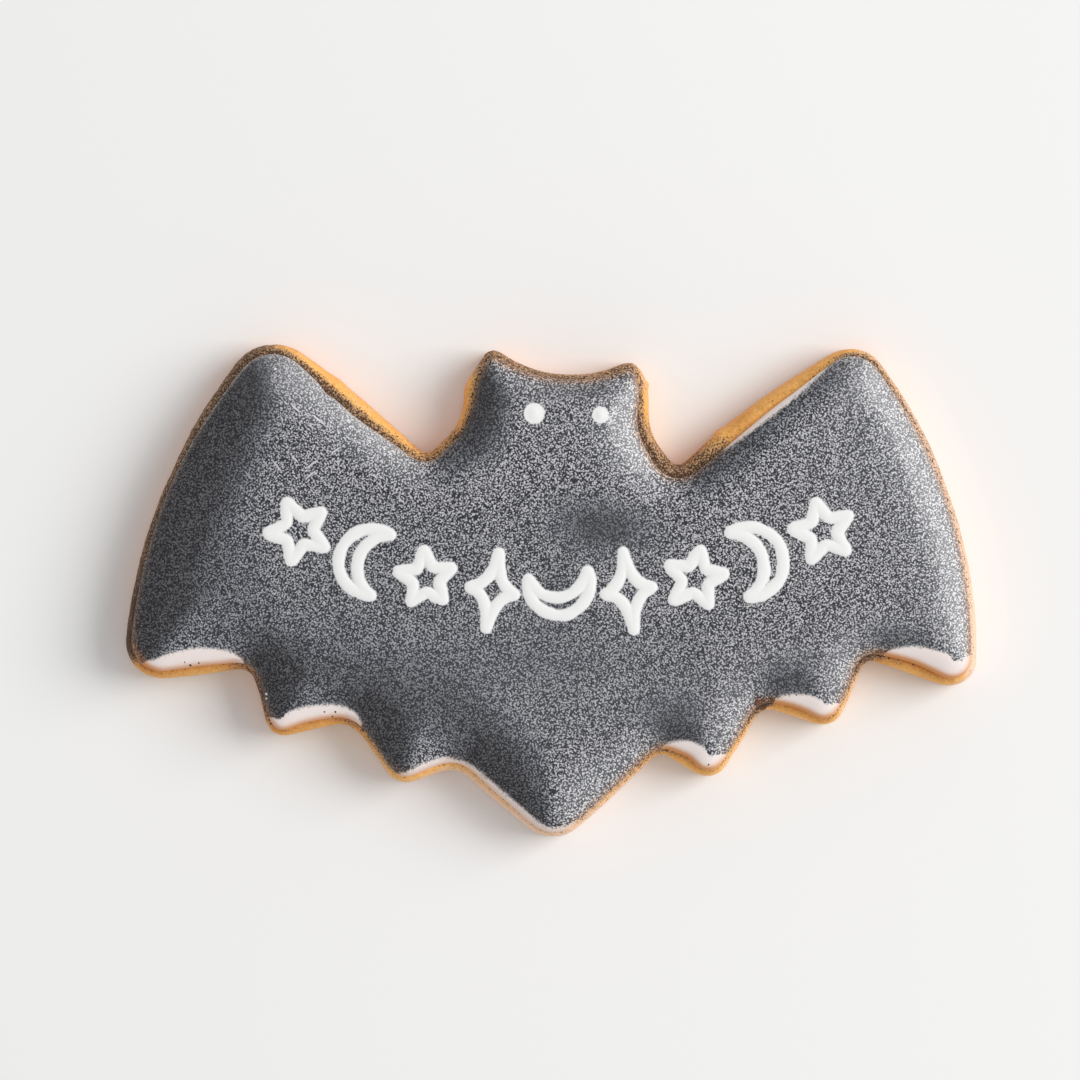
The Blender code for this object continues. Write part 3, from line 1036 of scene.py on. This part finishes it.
@dataclass
class Biscuit:
    """The baked biscuit: a flat base, an upright side and a wide, soft shoulder.

    Attributes:
        form: The shared heights and widths.
        node: The CAD node that it stands for.
        section: The height at which the node's widest outline is taken.
        spacing: The distance between points of the outline.
        grid: The side of a square on the rim.
        base_grid: The side of a square on the base.
        hidden: How far in the icing hides the biscuit.
        insets: The widths of the rings round the top.
        levels: The number of rings down the side.
        foot_levels: The number of rings round the lower edge.
        nudges: Small bulges and dents of the outline.
        crumb_size: The size of the dough's crumb.
        swell_size: The size of its broader swells.
        pit_size: The size of its pits.
        pit_rarity: How rare the pits are.
        streak_width: Half the width of the browner streak beside the icing.
        streak_bake: How much more that streak is baked.
        painted_glow_share: How strong the painted glow of brighter orange crust is, low on the left
            sides, which face away from the light.
        edge: The outline, once it is built.
        piece: The finished object.
        outer_soot: Drawing x, drawing y and the soot on the outer half of the rim.
        inner_soot: The same on the inner half, next to the icing.
        bake: The same for how much the crust is baked.
    """

    form: CookieForm
    node: bpy.types.Object
    section: float = 2.9 * MM
    spacing: float = 0.25 * MM
    grid: float = 0.34 * MM
    base_grid: float = 1.0 * MM
    hidden: float = 4.2 * MM
    insets: tuple[float, ...] = (0.03 * MM, 0.06 * MM, 0.1 * MM, 0.14 * MM, 0.17 * MM)
    levels: int = 12
    foot_levels: int = 5
    nudges: tuple[Nudge, ...] = (
        Nudge(12.7, 26.7, 0.35, 0.28),
        Nudge(21.4, 20.6, 0.5, 0.22),
        Nudge(-10.9, 26.0, 1.0, 0.25),
        Nudge(-27.5, 26.9, 0.8, 0.15),
        Nudge(-49.5, 15.5, 0.9, -0.15),
        Nudge(-46.9, 21.0, 0.5, 0.12),
    )
    crumb_size: float = 0.9 * MM
    swell_size: float = 5 * MM
    pit_size: float = 1.3 * MM
    pit_rarity: float = 0.32
    streak_width: float = 0.55 * MM
    streak_bake: float = 0.4
    painted_glow_share: float = 0.85
    edge: Contour = field(init=False)
    piece: bpy.types.Object = field(init=False)

    outer_soot = (
        (-54.6, -8.0, 0.8), (-53.8, 0.0, 0.6), (-50.0, 14.0, 0.5), (-42.0, 29.5, 0.52),
        (-37.5, 33.0, 0.5), (-34.5, 32.4, 0.1), (-31.0, 30.0, -0.2), (-19.5, 20.3, -0.1),
        (-16.2, 17.3, 0.3), (-12.8, 20.4, 0.3), (-11.6, 23.0, -0.1), (-11.0, 26.5, -0.1),
        (-9.3, 29.0, 0.4), (-8.0, 31.0, 0.42), (0.0, 27.6, 0.38), (10.5, 29.6, 0.35),
        (12.3, 27.6, 0.15), (12.6, 24.0, -0.1), (12.9, 21.0, 0.3), (16.3, 15.7, 0.5),
        (19.5, 18.4, 0.35), (22.5, 21.0, -0.1), (38.0, 32.0, -0.1), (41.5, 31.6, 0.2),
        (48.5, 18.0, 0.24), (53.5, 2.0, 0.12), (54.8, -9.0, -0.1), (50.0, -12.5, -0.2),
        (42.6, -9.6, 0.0), (41.0, -9.2, 0.45), (39.4, -11.0, 0.15), (36.0, -17.8, -0.2),
        (28.6, -15.2, -0.1), (26.9, -15.5, 0.4), (25.4, -17.6, 0.1), (20.5, -24.8, -0.2),
        (15.5, -21.5, -0.1), (13.6, -21.4, 0.15), (8.0, -26.5, 0.05), (1.0, -33.0, -0.1),
        (-6.0, -28.0, -0.05), (-12.0, -23.0, 0.0), (-15.5, -24.0, -0.1), (-20.0, -25.8, 0.0),
        (-23.0, -22.0, 0.18), (-26.0, -17.0, 0.1), (-29.5, -17.6, -0.1), (-36.5, -19.2, -0.1),
        (-38.0, -15.5, 0.45), (-38.8, -12.0, 0.58), (-39.6, -10.2, 0.3), (-43.0, -10.4, -0.1),
        (-52.0, -11.6, -0.1), (-54.2, -11.0, -0.1),
    )  # fmt: skip
    inner_soot = (
        (-54.6, -8.0, 0.88), (-53.8, 0.0, 0.68), (-50.0, 14.0, 0.58), (-38.0, 32.0, 0.58),
        (-26.0, 25.6, 0.56), (-16.2, 17.3, 0.42), (-12.4, 20.9, 0.46), (-11.0, 26.5, 0.45),
        (-8.3, 31.0, 0.48), (0.0, 27.3, 0.5), (10.5, 29.6, 0.45), (12.5, 26.5, 0.4),
        (12.9, 21.0, 0.55), (16.3, 15.7, 0.58), (20.5, 19.4, 0.45), (22.5, 21.0, 0.1),
        (26.0, 24.0, -0.1), (34.0, 30.0, 0.1), (37.5, 32.0, 0.5), (41.5, 31.6, 0.55),
        (48.5, 18.0, 0.3), (53.5, 2.0, 0.22), (54.8, -9.0, 0.1), (50.0, -12.5, -0.1),
        (43.5, -9.8, 0.2), (41.0, -9.2, 0.7), (39.0, -12.0, 0.4), (36.3, -17.4, 0.25),
        (34.0, -17.3, -0.1), (29.3, -15.2, 0.0), (27.6, -15.0, 0.85), (26.2, -15.8, 0.5),
        (25.0, -18.0, 0.35), (20.9, -24.4, 0.2), (19.0, -23.8, -0.1), (14.1, -21.0, 0.4),
        (8.0, -26.5, 0.28), (1.0, -33.0, 0.1), (-6.0, -28.0, 0.1), (-12.0, -23.0, 0.15),
        (-16.0, -24.5, 0.0), (-20.0, -25.8, 0.1), (-22.6, -21.4, 0.34), (-26.0, -17.0, 0.3),
        (-30.0, -17.8, 0.0), (-36.5, -19.2, 0.1), (-38.0, -14.5, 0.75), (-39.5, -10.4, 0.4),
        (-43.0, -10.4, 0.0), (-52.0, -11.6, 0.0), (-54.2, -10.8, 0.15),
    )  # fmt: skip
    bake = (
        (-54.6, -8.0, 0.8), (-52.0, 10.0, 0.55), (-38.0, 33.0, 0.5), (-31.0, 30.0, 0.42),
        (-19.5, 20.3, 0.42), (-16.2, 17.3, 0.4), (-11.6, 23.0, 0.5), (-11.0, 26.5, 0.5),
        (-8.0, 31.0, 0.3), (0.0, 27.6, 0.25), (10.5, 29.6, 0.3), (12.6, 24.0, 0.38),
        (16.3, 15.7, 0.3), (22.5, 21.0, 0.52), (38.0, 32.0, 0.52), (41.5, 31.6, 0.2),
        (48.5, 18.0, -0.04), (53.5, 2.0, -0.15), (54.8, -9.0, -0.4), (50.0, -12.5, 0.34),
        (42.6, -9.6, 0.39), (39.4, -11.0, 0.2), (36.0, -17.8, 0.24), (28.6, -15.2, 0.26),
        (25.4, -17.6, 0.2),
        (20.5, -24.8, 0.22), (15.5, -21.5, 0.3), (8.0, -26.5, -0.08), (1.0, -33.0, -0.35),
        (-6.0, -28.0, -0.2), (-12.0, -23.0, 0.0), (-15.5, -24.0, 0.0), (-20.0, -25.8, 0.08),
        (-25.6, -17.4, 0.5), (-29.5, -17.6, 0.34), (-36.5, -19.2, 0.34), (-38.0, -15.0, 0.75),
        (-43.0, -10.4, 0.36), (-51.0, -11.6, 0.36), (-54.5, -10.8, 0.5),
    )  # fmt: skip

    def build(self) -> None:
        """Builds the mesh from the node's widest outline."""
        bm = section_ring(self.node, self.section, self.spacing)
        face, self.edge = fill_ring(bm, self.nudges)
        inset_rings(bm, face, self.insets)
        cut_grid(bm, face, self.grid)
        self.shape_top(bm)
        self.lower_side(bm)
        self.roughen(bm)
        self.piece = finished("biscuit_body", bm)

    def shape_top(self, bm: bmesh.types.BMesh) -> None:
        """Rounds the shoulder and makes one face of what the icing hides.

        Args:
            bm: The bmesh of the top.
        """
        distance, _ = self.edge.measure(flat_places(bm))
        bm.verts.index_update()
        for vertex, z in zip(bm.verts, self.form.shoulder(distance)):
            vertex.co.z = z
        covered = [f for f in bm.faces if min(distance[v.index] for v in f.verts) > self.hidden]
        bmesh.ops.dissolve_faces(bm, faces=covered, use_verts=True)

    def lower_side(self, bm: bmesh.types.BMesh) -> None:
        """Draws the side down from the shoulder, rounds the lower edge and closes the base.

        Args:
            bm: The bmesh of the top.
        """
        foot = self.form.foot
        start = self.form.thickness - self.form.shoulder_drop
        shares = (np.arange(self.levels) + 1) / self.levels
        steps = [(0.0, start + (foot - start) * share) for share in shares]
        turns = math.pi / 2 * (np.arange(self.foot_levels) + 1) / self.foot_levels
        steps += [(foot * (1 - math.cos(turn)), foot * (1 - math.sin(turn))) for turn in turns]
        border = [e for e in bm.edges if e.is_boundary]
        for inset, height in steps:
            heights = np.full(len(self.edge.points), height)
            border = draw_down(bm, border, self.edge, inset, heights)
        base = bmesh.ops.edgeloop_fill(bm, edges=border)["faces"][0]
        cut_grid(bm, base, self.base_grid)

    def roughen(self, bm: bmesh.types.BMesh) -> None:
        """Gives the dough its crumb: small hollows, pushed inwards.

        Args:
            bm: The bmesh of the closed biscuit.
        """
        bmesh.ops.recalc_face_normals(bm, faces=bm.faces)
        bm.normal_update()
        moves = []
        for vertex in bm.verts:
            crumb = noise.fractal(vertex.co / self.crumb_size, 0.7, 2.1, 3)
            broad = noise.noise(vertex.co / self.swell_size)
            pit = noise.noise(vertex.co / self.pit_size + Vector((7, 3, 5))) - self.pit_rarity
            inward = 0.08 + 0.05 * crumb + 0.09 * broad + 0.5 * max(0.0, pit)
            moves.append(-vertex.normal * max(inward, 0.0) * MM)
        for vertex, move in zip(bm.verts, moves):
            vertex.co += move
            vertex.co.z = max(vertex.co.z, 0.0)

    def dress(self, icing_edge: Contour) -> None:
        """Works out where the crust is browned and sooty, and gives it its finish.

        Args:
            icing_edge: The icing's outline.
        """
        mesh = self.piece.data
        places = coordinates(mesh)
        distance, nearest = self.edge.measure(places[:, :2])
        rims = icing_edge.measure(self.edge.points)[0]
        share = ease(distance / rims[nearest], 0.25, 0.75)
        outer = self.edge.along(self.outer_soot)[nearest]
        inner = self.edge.along(self.inner_soot)[nearest]
        height = places[:, 2]
        soot = outer + (inner - outer) * share - 0.6 * (1 - ease(height, 1.2 * MM, 4.2 * MM))
        store(mesh, "soot", relaxed(soot, mesh, 2))
        facing = self.edge.normals[nearest]
        streak = np.exp(-0.5 * ((rims[nearest] - distance) / self.streak_width) ** 2)
        streak *= ease(-facing[:, 1], 0.3, 0.9) * (height > 3 * MM)
        store(mesh, "toast", self.edge.along(self.bake)[nearest] + self.streak_bake * streak)
        # Painted glow: brighter orange crust low on the sides that face left, away from the light,
        # to lighten their shade and warm the floor's shadow.
        low = 1 - ease(height, 2.6 * MM, 6.0 * MM)
        turned = facing[:, 0] - np.maximum(facing[:, 1], 0)
        low *= ease(facing[:, 1], -0.8, -0.2)
        store(mesh, "painted_glow", self.painted_glow_share * low * (1 - ease(turned, -0.3, 0.5)))
        mesh.materials.append(BakedCrust().material())
        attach(self.piece, "root")
        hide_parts("biscuit")


@dataclass
class Icing:
    """The puffed sheet of icing with its eyes and marks.

    Attributes:
        form: The shared heights and widths.
        node: The CAD node that it stands for.
        section: The height at which the node's outline is taken.
        spacing: The distance between points of the outline.
        grid: The side of a square on top.
        insets: The widths of the rings round the top.
        lip: The height of the edge above the biscuit.
        skirt: Inset and height above the biscuit of the rings below the edge.
        marks: The row of marks.
        eyes: The two eyes.
        eye_rise: How far an eye stands up.
        nudges: Nicks and bulges of the outline.
        bands: Where the icing is bare.
        smudges: Where the spray is thicker or thinner, some of them also painted light and shade.
        mists: Where its grain is blurred.
        soft_inset: How far in the smoothing of the slope starts.
        soft_passes: How many times the slope is smoothed.
        wave_size: The size of the waves on top.
        wave_height: Their height.
        sag: How far the top lies lower for them.
        refined: How far round the marks and eyes the mesh is finer.
        edge: The outline, once it is built.
        piece: The finished object.
        reach: Drawing x, drawing y and how far in the side term of the spray is felt, in
        millimetres: thicker spray and painted shade on margins that face left, thinner spray and
        painted light on margins that face right.
        warmth: The same for how much the crust shines through at the edge.
        painted_lip_highlight: The same for the painted highlight along the very edge, where it
            faces the light.
    """

    form: CookieForm
    node: bpy.types.Object
    section: float = 6.95 * MM
    spacing: float = 0.25 * MM
    grid: float = 0.3 * MM
    insets: tuple[float, ...] = (0.04 * MM, 0.07 * MM, 0.12 * MM, 0.2 * MM)
    lip: float = 0.38 * MM
    skirt: tuple[tuple[float, float], ...] = (
        (0.0, 0.25 * MM), (0.06 * MM, 0.08 * MM), (0.2 * MM, -0.1 * MM),
    )  # fmt: skip
    marks: MarkRow = MarkRow()
    eyes: tuple[Eye, ...] = (Eye(-2.15, 22.75, 1.22), Eye(6.35, 22.55, 0.95))
    eye_rise: float = 0.12 * MM
    nudges: tuple[Nudge, ...] = (
        Nudge(-26.6, 24.9, 0.5, 0.35),
        Nudge(-28.6, 25.9, 0.7, -0.3),
        Nudge(28.0, 23.0, 4.5, -0.1),
    )
    bands: tuple[BareBand, ...] = (
        BareBand((-53.4, -9.8), (-39.7, -10.0), 1.9, 0.5, 0.38),
        BareBand((-37.6, -16.6), (-23.8, -17.3), 1.6, 0.42, 0.38),
        BareBand((-20.8, -24.2), (-10.8, -22.6), 0.45, 0.5, 0.36),
        BareBand((-14.6, -21.7), (4.5, -30.8), 0.3, 0.5, 0.25),
        BareBand((14.0, -20.4), (23.3, -21.5), 2.0, 0.6, 0.52),
        BareBand((28.4, -14.6), (38.1, -14.8), 1.8, 0.6, 0.44),
        BareBand((42.6, -8.1), (54.9, -8.2), 2.5, 0.65, 0.48),
        BareBand((21.6, 18.2), (35.6, 29.0), 0.2, 0.5, 0.3),
    )
    # Besides thicker and thinner spray, some smudges are painted light and shade: the lighter ovals
    # on the head's right side and on the left wing's upper-right margin are painted light on slopes
    # that face the light, and the darker ones above the lower notches are painted shade on slopes
    # that face down.
    smudges: tuple[Smudge, ...] = (
        Smudge(6.7, 8.2, 4.3, 2.2, -8, 0.42),
        Smudge(1.0, -1.0, 2.0, 3.5, -15, 0.12),
        Smudge(15.4, -17.1, 3.0, 2.3, 15, 0.25),
        Smudge(30.5, -11.4, 3.6, 1.6, 5, 0.25),
        Smudge(27.5, -13.5, 1.2, 1.2, 0, 0.2),
        Smudge(43.5, -6.3, 4.2, 1.6, 0, 0.2),
        Smudge(1.5, 26.0, 5.5, 1.2, 0, 0.2),
        Smudge(19.0, 16.6, 3.5, 1.2, 25, 0.12),
        Smudge(-24.0, -12.5, 9.0, 3.6, -15, 0.16),
        Smudge(-10.0, -17.0, 5.0, 3.0, -45, 0.12),
        Smudge(-40.5, 0.5, 2.2, 4.0, -20, 0.1),
        Smudge(-44.6, 3.5, 0.8, 4.0, -25, -0.22),
        Smudge(-33.0, 10.0, 6.0, 7.0, 0, -0.05),
        Smudge(-37.5, 24.0, 3.0, 5.0, -20, 0.1),
        Smudge(-22.0, 19.8, 5.5, 1.6, -42, -0.2),
        Smudge(9.5, 20.0, 2.2, 4.0, 15, -0.24),
        Smudge(-11.0, 15.0, 3.0, 1.8, -30, -0.12),
        Smudge(0.0, -9.5, 12.0, 2.5, 0, 0.06),
        Smudge(-5.0, -14.5, 4.0, 2.5, -30, -0.06),
        Smudge(8.0, -14.0, 4.5, 2.5, 20, -0.04),
        Smudge(24.0, -12.5, 2.0, 4.0, -30, -0.1),
        Smudge(2.5, -25.5, 3.0, 4.5, -30, -0.26),
        Smudge(29.0, 14.0, 6.0, 5.0, 0, 0.04),
    )
    mists: tuple[Smudge, ...] = (
        Smudge(-36.5, 27.5, 4.0, 3.0, 0, 0.3),
        Smudge(-26.0, 22.6, 7.0, 1.3, -40, 0.25),
        Smudge(38.5, 27.5, 3.0, 2.4, 0, 0.2),
        Smudge(1.5, 25.6, 6.5, 1.1, 0, 0.2),
        Smudge(-9.0, 23.0, 2.0, 4.5, 0, 0.15),
        Smudge(6.7, 8.2, 4.5, 2.4, -8, 0.2),
        Smudge(0.0, -11.5, 16.0, 6.5, 0, 0.1),
        Smudge(30.0, -10.0, 6.0, 3.0, 10, 0.15),
        Smudge(44.0, -5.5, 5.0, 2.4, 0, 0.15),
        Smudge(15.5, -16.8, 3.5, 2.6, 15, 0.15),
    )
    soft_inset: float = 0.45 * MM
    soft_passes: int = 24
    wave_size: float = 11 * MM
    wave_height: float = 0.07 * MM
    sag: float = 0.05 * MM
    refined: float = 0.45 * MM
    edge: Contour = field(init=False)
    piece: bpy.types.Object = field(init=False)

    reach = (
        (-53.0, -8.0, 7.0), (-51.0, 8.0, 8.5), (-45.0, 21.0, 7.5), (-38.0, 31.0, 4.0),
        (-27.0, 24.5, 4.5), (-16.0, 16.5, 3.5), (-12.0, 20.0, 4.4), (-8.0, 29.0, 4.0),
        (0.0, 27.0, 2.0), (10.0, 29.0, 2.5), (11.0, 24.0, 4.0), (14.0, 15.5, 3.5),
        (20.0, 17.0, 3.0), (34.0, 28.0, 3.0), (39.0, 31.5, 3.5), (47.5, 17.0, 5.0),
        (53.0, -5.0, 4.5), (42.0, -8.0, 3.5), (36.5, -16.0, 4.0), (21.5, -23.0, 4.0),
        (7.0, -27.0, 4.0), (0.5, -32.0, 4.0), (-8.0, -26.0, 6.0), (-20.0, -24.5, 4.5),
        (-24.0, -19.0, 5.0), (-36.5, -17.5, 4.0), (-39.0, -13.0, 5.0), (-50.0, -10.0, 5.0),
    )  # fmt: skip
    warmth = (
        (-53.5, -6.0, 0.5), (-53.4, -9.4, 1.2), (-53.0, 0.0, 0.35), (-38.0, 31.0, 0.2),
        (-27.0, 24.5, 0.1), (-16.0, 16.5, 0.3), (-11.0, 20.0, 0.15), (-9.0, 27.0, 0.2),
        (-7.0, 30.5, 0.75), (0.0, 27.0, 0.6), (10.0, 29.0, 0.75), (11.0, 25.0, 0.5),
        (11.5, 20.0, 0.5), (15.0, 14.5, 0.5), (20.0, 17.0, 0.35), (30.0, 25.0, 0.2),
        (39.0, 31.5, 0.2), (47.5, 17.0, 0.4), (52.5, 0.0, 0.5), (53.7, -8.6, 0.65),
        (51.5, -10.6, 1.0), (42.6, -8.2, 1.05), (40.6, -8.4, 0.6), (37.6, -14.5, 0.55),
        (36.0, -16.4, 0.9), (29.0, -14.0, 1.05), (26.5, -15.0, 0.6), (22.8, -21.5, 0.55),
        (20.6, -23.4, 0.95),
        (15.0, -20.4, 1.05), (13.2, -20.4, 0.6), (7.0, -27.0, 0.55),
        (0.5, -32.0, 0.45), (-8.0, -26.0, 0.5), (-12.5, -21.5, 0.5), (-20.0, -24.5, 0.65),
        (-22.0, -22.0, 0.3), (-24.0, -19.0, 0.3), (-27.0, -16.5, 0.8), (-36.5, -17.5, 0.8),
        (-37.4, -15.0, 0.3), (-38.8, -11.0, 0.2), (-41.0, -9.6, 0.75), (-50.0, -10.0, 0.75),
    )  # fmt: skip
    # Painted highlight along the icing's very edge: where it faces the softbox, the spray there is
    # thinned so the edge reads lighter.
    painted_lip_highlight = (
        (-54.0, -8.0, 0.0), (-50.0, 10.0, 0.1), (-43.0, 25.0, 0.6), (-38.0, 31.0, 0.8),
        (-27.0, 24.5, 1.0), (-16.0, 16.5, 0.5), (-11.0, 20.0, 0.0), (0.0, 27.0, 0.0),
        (11.0, 25.0, 0.4), (13.0, 17.0, 0.2), (20.0, 17.0, 0.2), (36.0, 29.5, 0.8),
        (39.0, 31.5, 1.0), (47.5, 17.0, 0.8), (53.0, -5.0, 0.4), (42.0, -8.0, 0.0),
        (0.5, -32.0, 0.0), (-39.0, -11.0, 0.0),
    )  # fmt: skip

    def build(self, biscuit_edge: Contour) -> None:
        """Builds the mesh from the node's outline.

        Args:
            biscuit_edge: The biscuit's widest outline.
        """
        bm = section_ring(self.node, self.section, self.spacing)
        face, self.edge = fill_ring(bm, self.nudges)
        rims, _ = biscuit_edge.measure(self.edge.points)
        inset_rings(bm, face, self.insets)
        cut_grid(bm, face, self.grid)
        self.puff(bm, self.form.shoulder(rims) + self.lip)
        self.raise_marks(bm)
        self.hang_skirt(bm, rims)
        self.piece = finished("icing_sheet", bm)

    def puff(self, bm: bmesh.types.BMesh, lips: np.ndarray) -> None:
        """Lifts the top onto its soft slope and plateau.

        Args:
            bm: The bmesh of the top.
            lips: The height of the edge at each point of the outline.
        """
        distance, nearest = self.edge.measure(flat_places(bm))
        low = lips[nearest]
        heights = low + (self.form.top - low) * self.form.slope(distance)
        for vertex, z in zip(bm.verts, heights):
            vertex.co.z = z
        inner = [v for v, d in zip(bm.verts, distance) if d > self.soft_inset]
        for _ in range(self.soft_passes):
            bmesh.ops.smooth_vert(bm, verts=inner, factor=0.5, use_axis_z=True)
        for vertex, share in zip(bm.verts, ease(distance, 0.0, 6 * MM)):
            wave = noise.noise(Vector((vertex.co.x, vertex.co.y, 0)) / self.wave_size)
            vertex.co.z += (self.wave_height * wave - self.sag) * share

    def raise_marks(self, bm: bmesh.types.BMesh) -> None:
        """Makes the mesh finer along the marks and lifts the marks and eyes.

        Args:
            bm: The bmesh of the top.
        """
        near = self.white_cover(flat_places(bm)) > -self.refined
        bm.verts.index_update()
        edges = [e for e in bm.edges if all(near[v.index] for v in e.verts)]
        bmesh.ops.subdivide_edges(bm, edges=edges, cuts=1, use_grid_fill=True)
        flat = flat_places(bm)
        inside = np.clip(self.marks.cover(flat) / self.marks.radius, 0.0, 1.0)
        rise = self.marks.rise * (1 - (1 - inside) ** 2) ** 0.6
        for eye in self.eyes:
            inside = np.clip(eye.cover(flat) / (eye.radius * MM), 0.0, 1.0)
            rise = np.maximum(rise, self.eye_rise * ease(inside, 0.0, 1.0))
        for vertex, up in zip(bm.verts, rise):
            vertex.co.z += up

    def white_cover(self, flat: np.ndarray) -> np.ndarray:
        """Measures how far inside a mark or an eye places are, negative outside."""
        return np.maximum.reduce([self.marks.cover(flat), *(eye.cover(flat) for eye in self.eyes)])

    def hang_skirt(self, bm: bmesh.types.BMesh, rims: np.ndarray) -> None:
        """Draws the edge down into the biscuit and closes the underside.

        Args:
            bm: The bmesh of the top.
            rims: The width of the biscuit's rim at each point of the outline.
        """
        border = [e for e in bm.edges if e.is_boundary]
        for inset, height in self.skirt:
            heights = self.form.shoulder(rims + inset) + height
            border = draw_down(bm, border, self.edge, inset, heights)
        bmesh.ops.edgeloop_fill(bm, edges=border)

    def dress(self) -> None:
        """Works out where the spray lies, and gives the icing its finish."""
        mesh = self.piece.data
        flat = coordinates(mesh)[:, :2]
        distance, nearest = self.edge.measure(flat)
        facing = self.edge.normals[nearest, 0]
        reach = self.edge.along(self.reach)[nearest] * MM
        margin = 1 - ease(distance / reach, 0.45, 1.5)
        # Thinner spray and painted light on margins that face right, thicker spray and painted
        # shade on those that face left; the whole also runs lighter towards the right and the top.
        side = np.where(facing > 0, 0.5, 0.58) * facing * margin
        spray = 0.55 - side - (0.002 * flat[:, 0] + 0.004 * flat[:, 1]) / MM
        for smudge in self.smudges:
            spray = spray + smudge.weight(flat)
        spray = relaxed(spray, mesh, 40)
        # Painted highlight: the very edge is lightened by thinning the spray there, most where it
        # faces the light.
        lip = self.edge.along(self.painted_lip_highlight)[nearest] * np.exp(-((distance / (0.22 * MM)) ** 2))
        store(mesh, "spray", np.clip(spray, 0, 1) * (1 - 0.9 * lip))
        store(mesh, "mist", sum(mist.weight(flat) for mist in self.mists).clip(0.0, 0.7))
        wide, narrow = (np.exp(-((distance / (size * MM)) ** 2)) for size in (1.1, 0.5))
        shine = 0.55 * wide + 0.45 * narrow
        store(mesh, "warm", self.edge.along(self.warmth)[nearest] * shine)
        bare = np.maximum.reduce([band.depth(self.edge, distance, nearest) for band in self.bands])
        store(mesh, "bare", bare / MM)
        store(mesh, "mark", self.white_cover(flat) / MM)
        mesh.materials.append(SprayedIcing().material())
        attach(self.piece, "root")
        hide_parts("icing")


# The studio


@dataclass(frozen=True)
class Studio:
    """A pale floor, soft light from the right, and a camera that looks straight down.

    Attributes:
        floor_size: Half the floor's side.
        frame_width: The width that the picture takes in, at the height of the biscuit's side.
        frame_level: That height.
        frame_middle: Drawing place under the middle of the picture, in millimetres.
        camera_height: The camera's height.
        sensor: The width of the camera's sensor, in millimetres.
        sky: The strength of the light from all round.
        key_power: The power of the softbox, in watts.
        key_size: The side of the softbox.
        key_place: The place of the softbox.
        sky_colour: The colour of the light from all round.
        key_colour: The colour of the softbox.
    """

    floor_size: float = 1.5
    frame_width: float = 140 * MM
    frame_level: float = 3 * MM
    frame_middle: tuple[float, float] = (-1.426, 6.454)
    camera_height: float = 0.85
    sensor: float = 36.0
    sky: float = 0.55
    key_power: float = 25.0
    key_size: float = 1.2
    key_place: tuple[float, float, float] = (1.34, 0.34, 1.15)
    sky_colour: Colour = (0.985, 0.995, 1.0, 1.0)
    key_colour: Colour = (1.0, 0.985, 0.965)

    def lay_floor(self) -> None:
        """Lays the floor, a hair below the cookie."""
        bm = bmesh.new()
        bmesh.ops.create_grid(bm, x_segments=4, y_segments=4, size=self.floor_size)
        bmesh.ops.translate(bm, verts=bm.verts, vec=(0, 0, -0.02 * MM))
        floor = finished("floor", bm)
        floor.data.materials.append(PaleFloor().material())

    def hang_lights(self) -> None:
        """Sets the light from all round and hangs the softbox."""
        world = bpy.data.worlds.new("studio")
        world.use_nodes = True
        sky = world.node_tree.nodes["Background"]
        sky.inputs["Color"].default_value = self.sky_colour
        sky.inputs["Strength"].default_value = self.sky
        bpy.context.scene.world = world
        lamp = bpy.data.lights.new("softbox", "AREA")
        lamp.shape = "SQUARE"
        lamp.size = self.key_size
        lamp.energy = self.key_power
        lamp.color = self.key_colour
        softbox = bpy.data.objects.new("softbox", lamp)
        softbox.location = self.key_place
        softbox.rotation_euler = Vector(self.key_place).to_track_quat("Z", "Y").to_euler()
        bpy.context.scene.collection.objects.link(softbox)

    def set_camera(self) -> None:
        """Sets the camera over the cookie, square to it."""
        data = bpy.data.cameras.new("camera")
        data.sensor_width = self.sensor
        data.lens = self.sensor * (self.camera_height - self.frame_level) / self.frame_width
        camera = bpy.data.objects.new("camera", data)
        camera.location = (*placed(*self.frame_middle), self.camera_height)
        bpy.context.scene.collection.objects.link(camera)
        bpy.context.scene.camera = camera
        bpy.context.scene.view_settings.view_transform = "Standard"


def report(piece: bpy.types.Object) -> None:
    """Logs a piece's name, triangles and height."""
    piece.data.calc_loop_triangles()
    top = max(v.co.z for v in piece.data.vertices)
    log.info("%s: %d triangles, %.2f mm high", piece.name, len(piece.data.loop_triangles), top / MM)


def main() -> None:
    """Builds the cookie and the studio round it."""
    logging.basicConfig(level=logging.INFO, format="%(message)s")
    form = CookieForm()
    biscuit = Biscuit(form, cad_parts["biscuit"])
    icing = Icing(form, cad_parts["icing"])
    biscuit.build()
    icing.build(biscuit.edge)
    biscuit.dress(icing.edge)
    report(biscuit.piece)
    icing.dress()
    report(icing.piece)
    studio = Studio()
    studio.lay_floor()
    studio.hang_lights()
    studio.set_camera()
    log.info("studio: floor, softbox and camera")


if __name__ == "__main__":
    main()
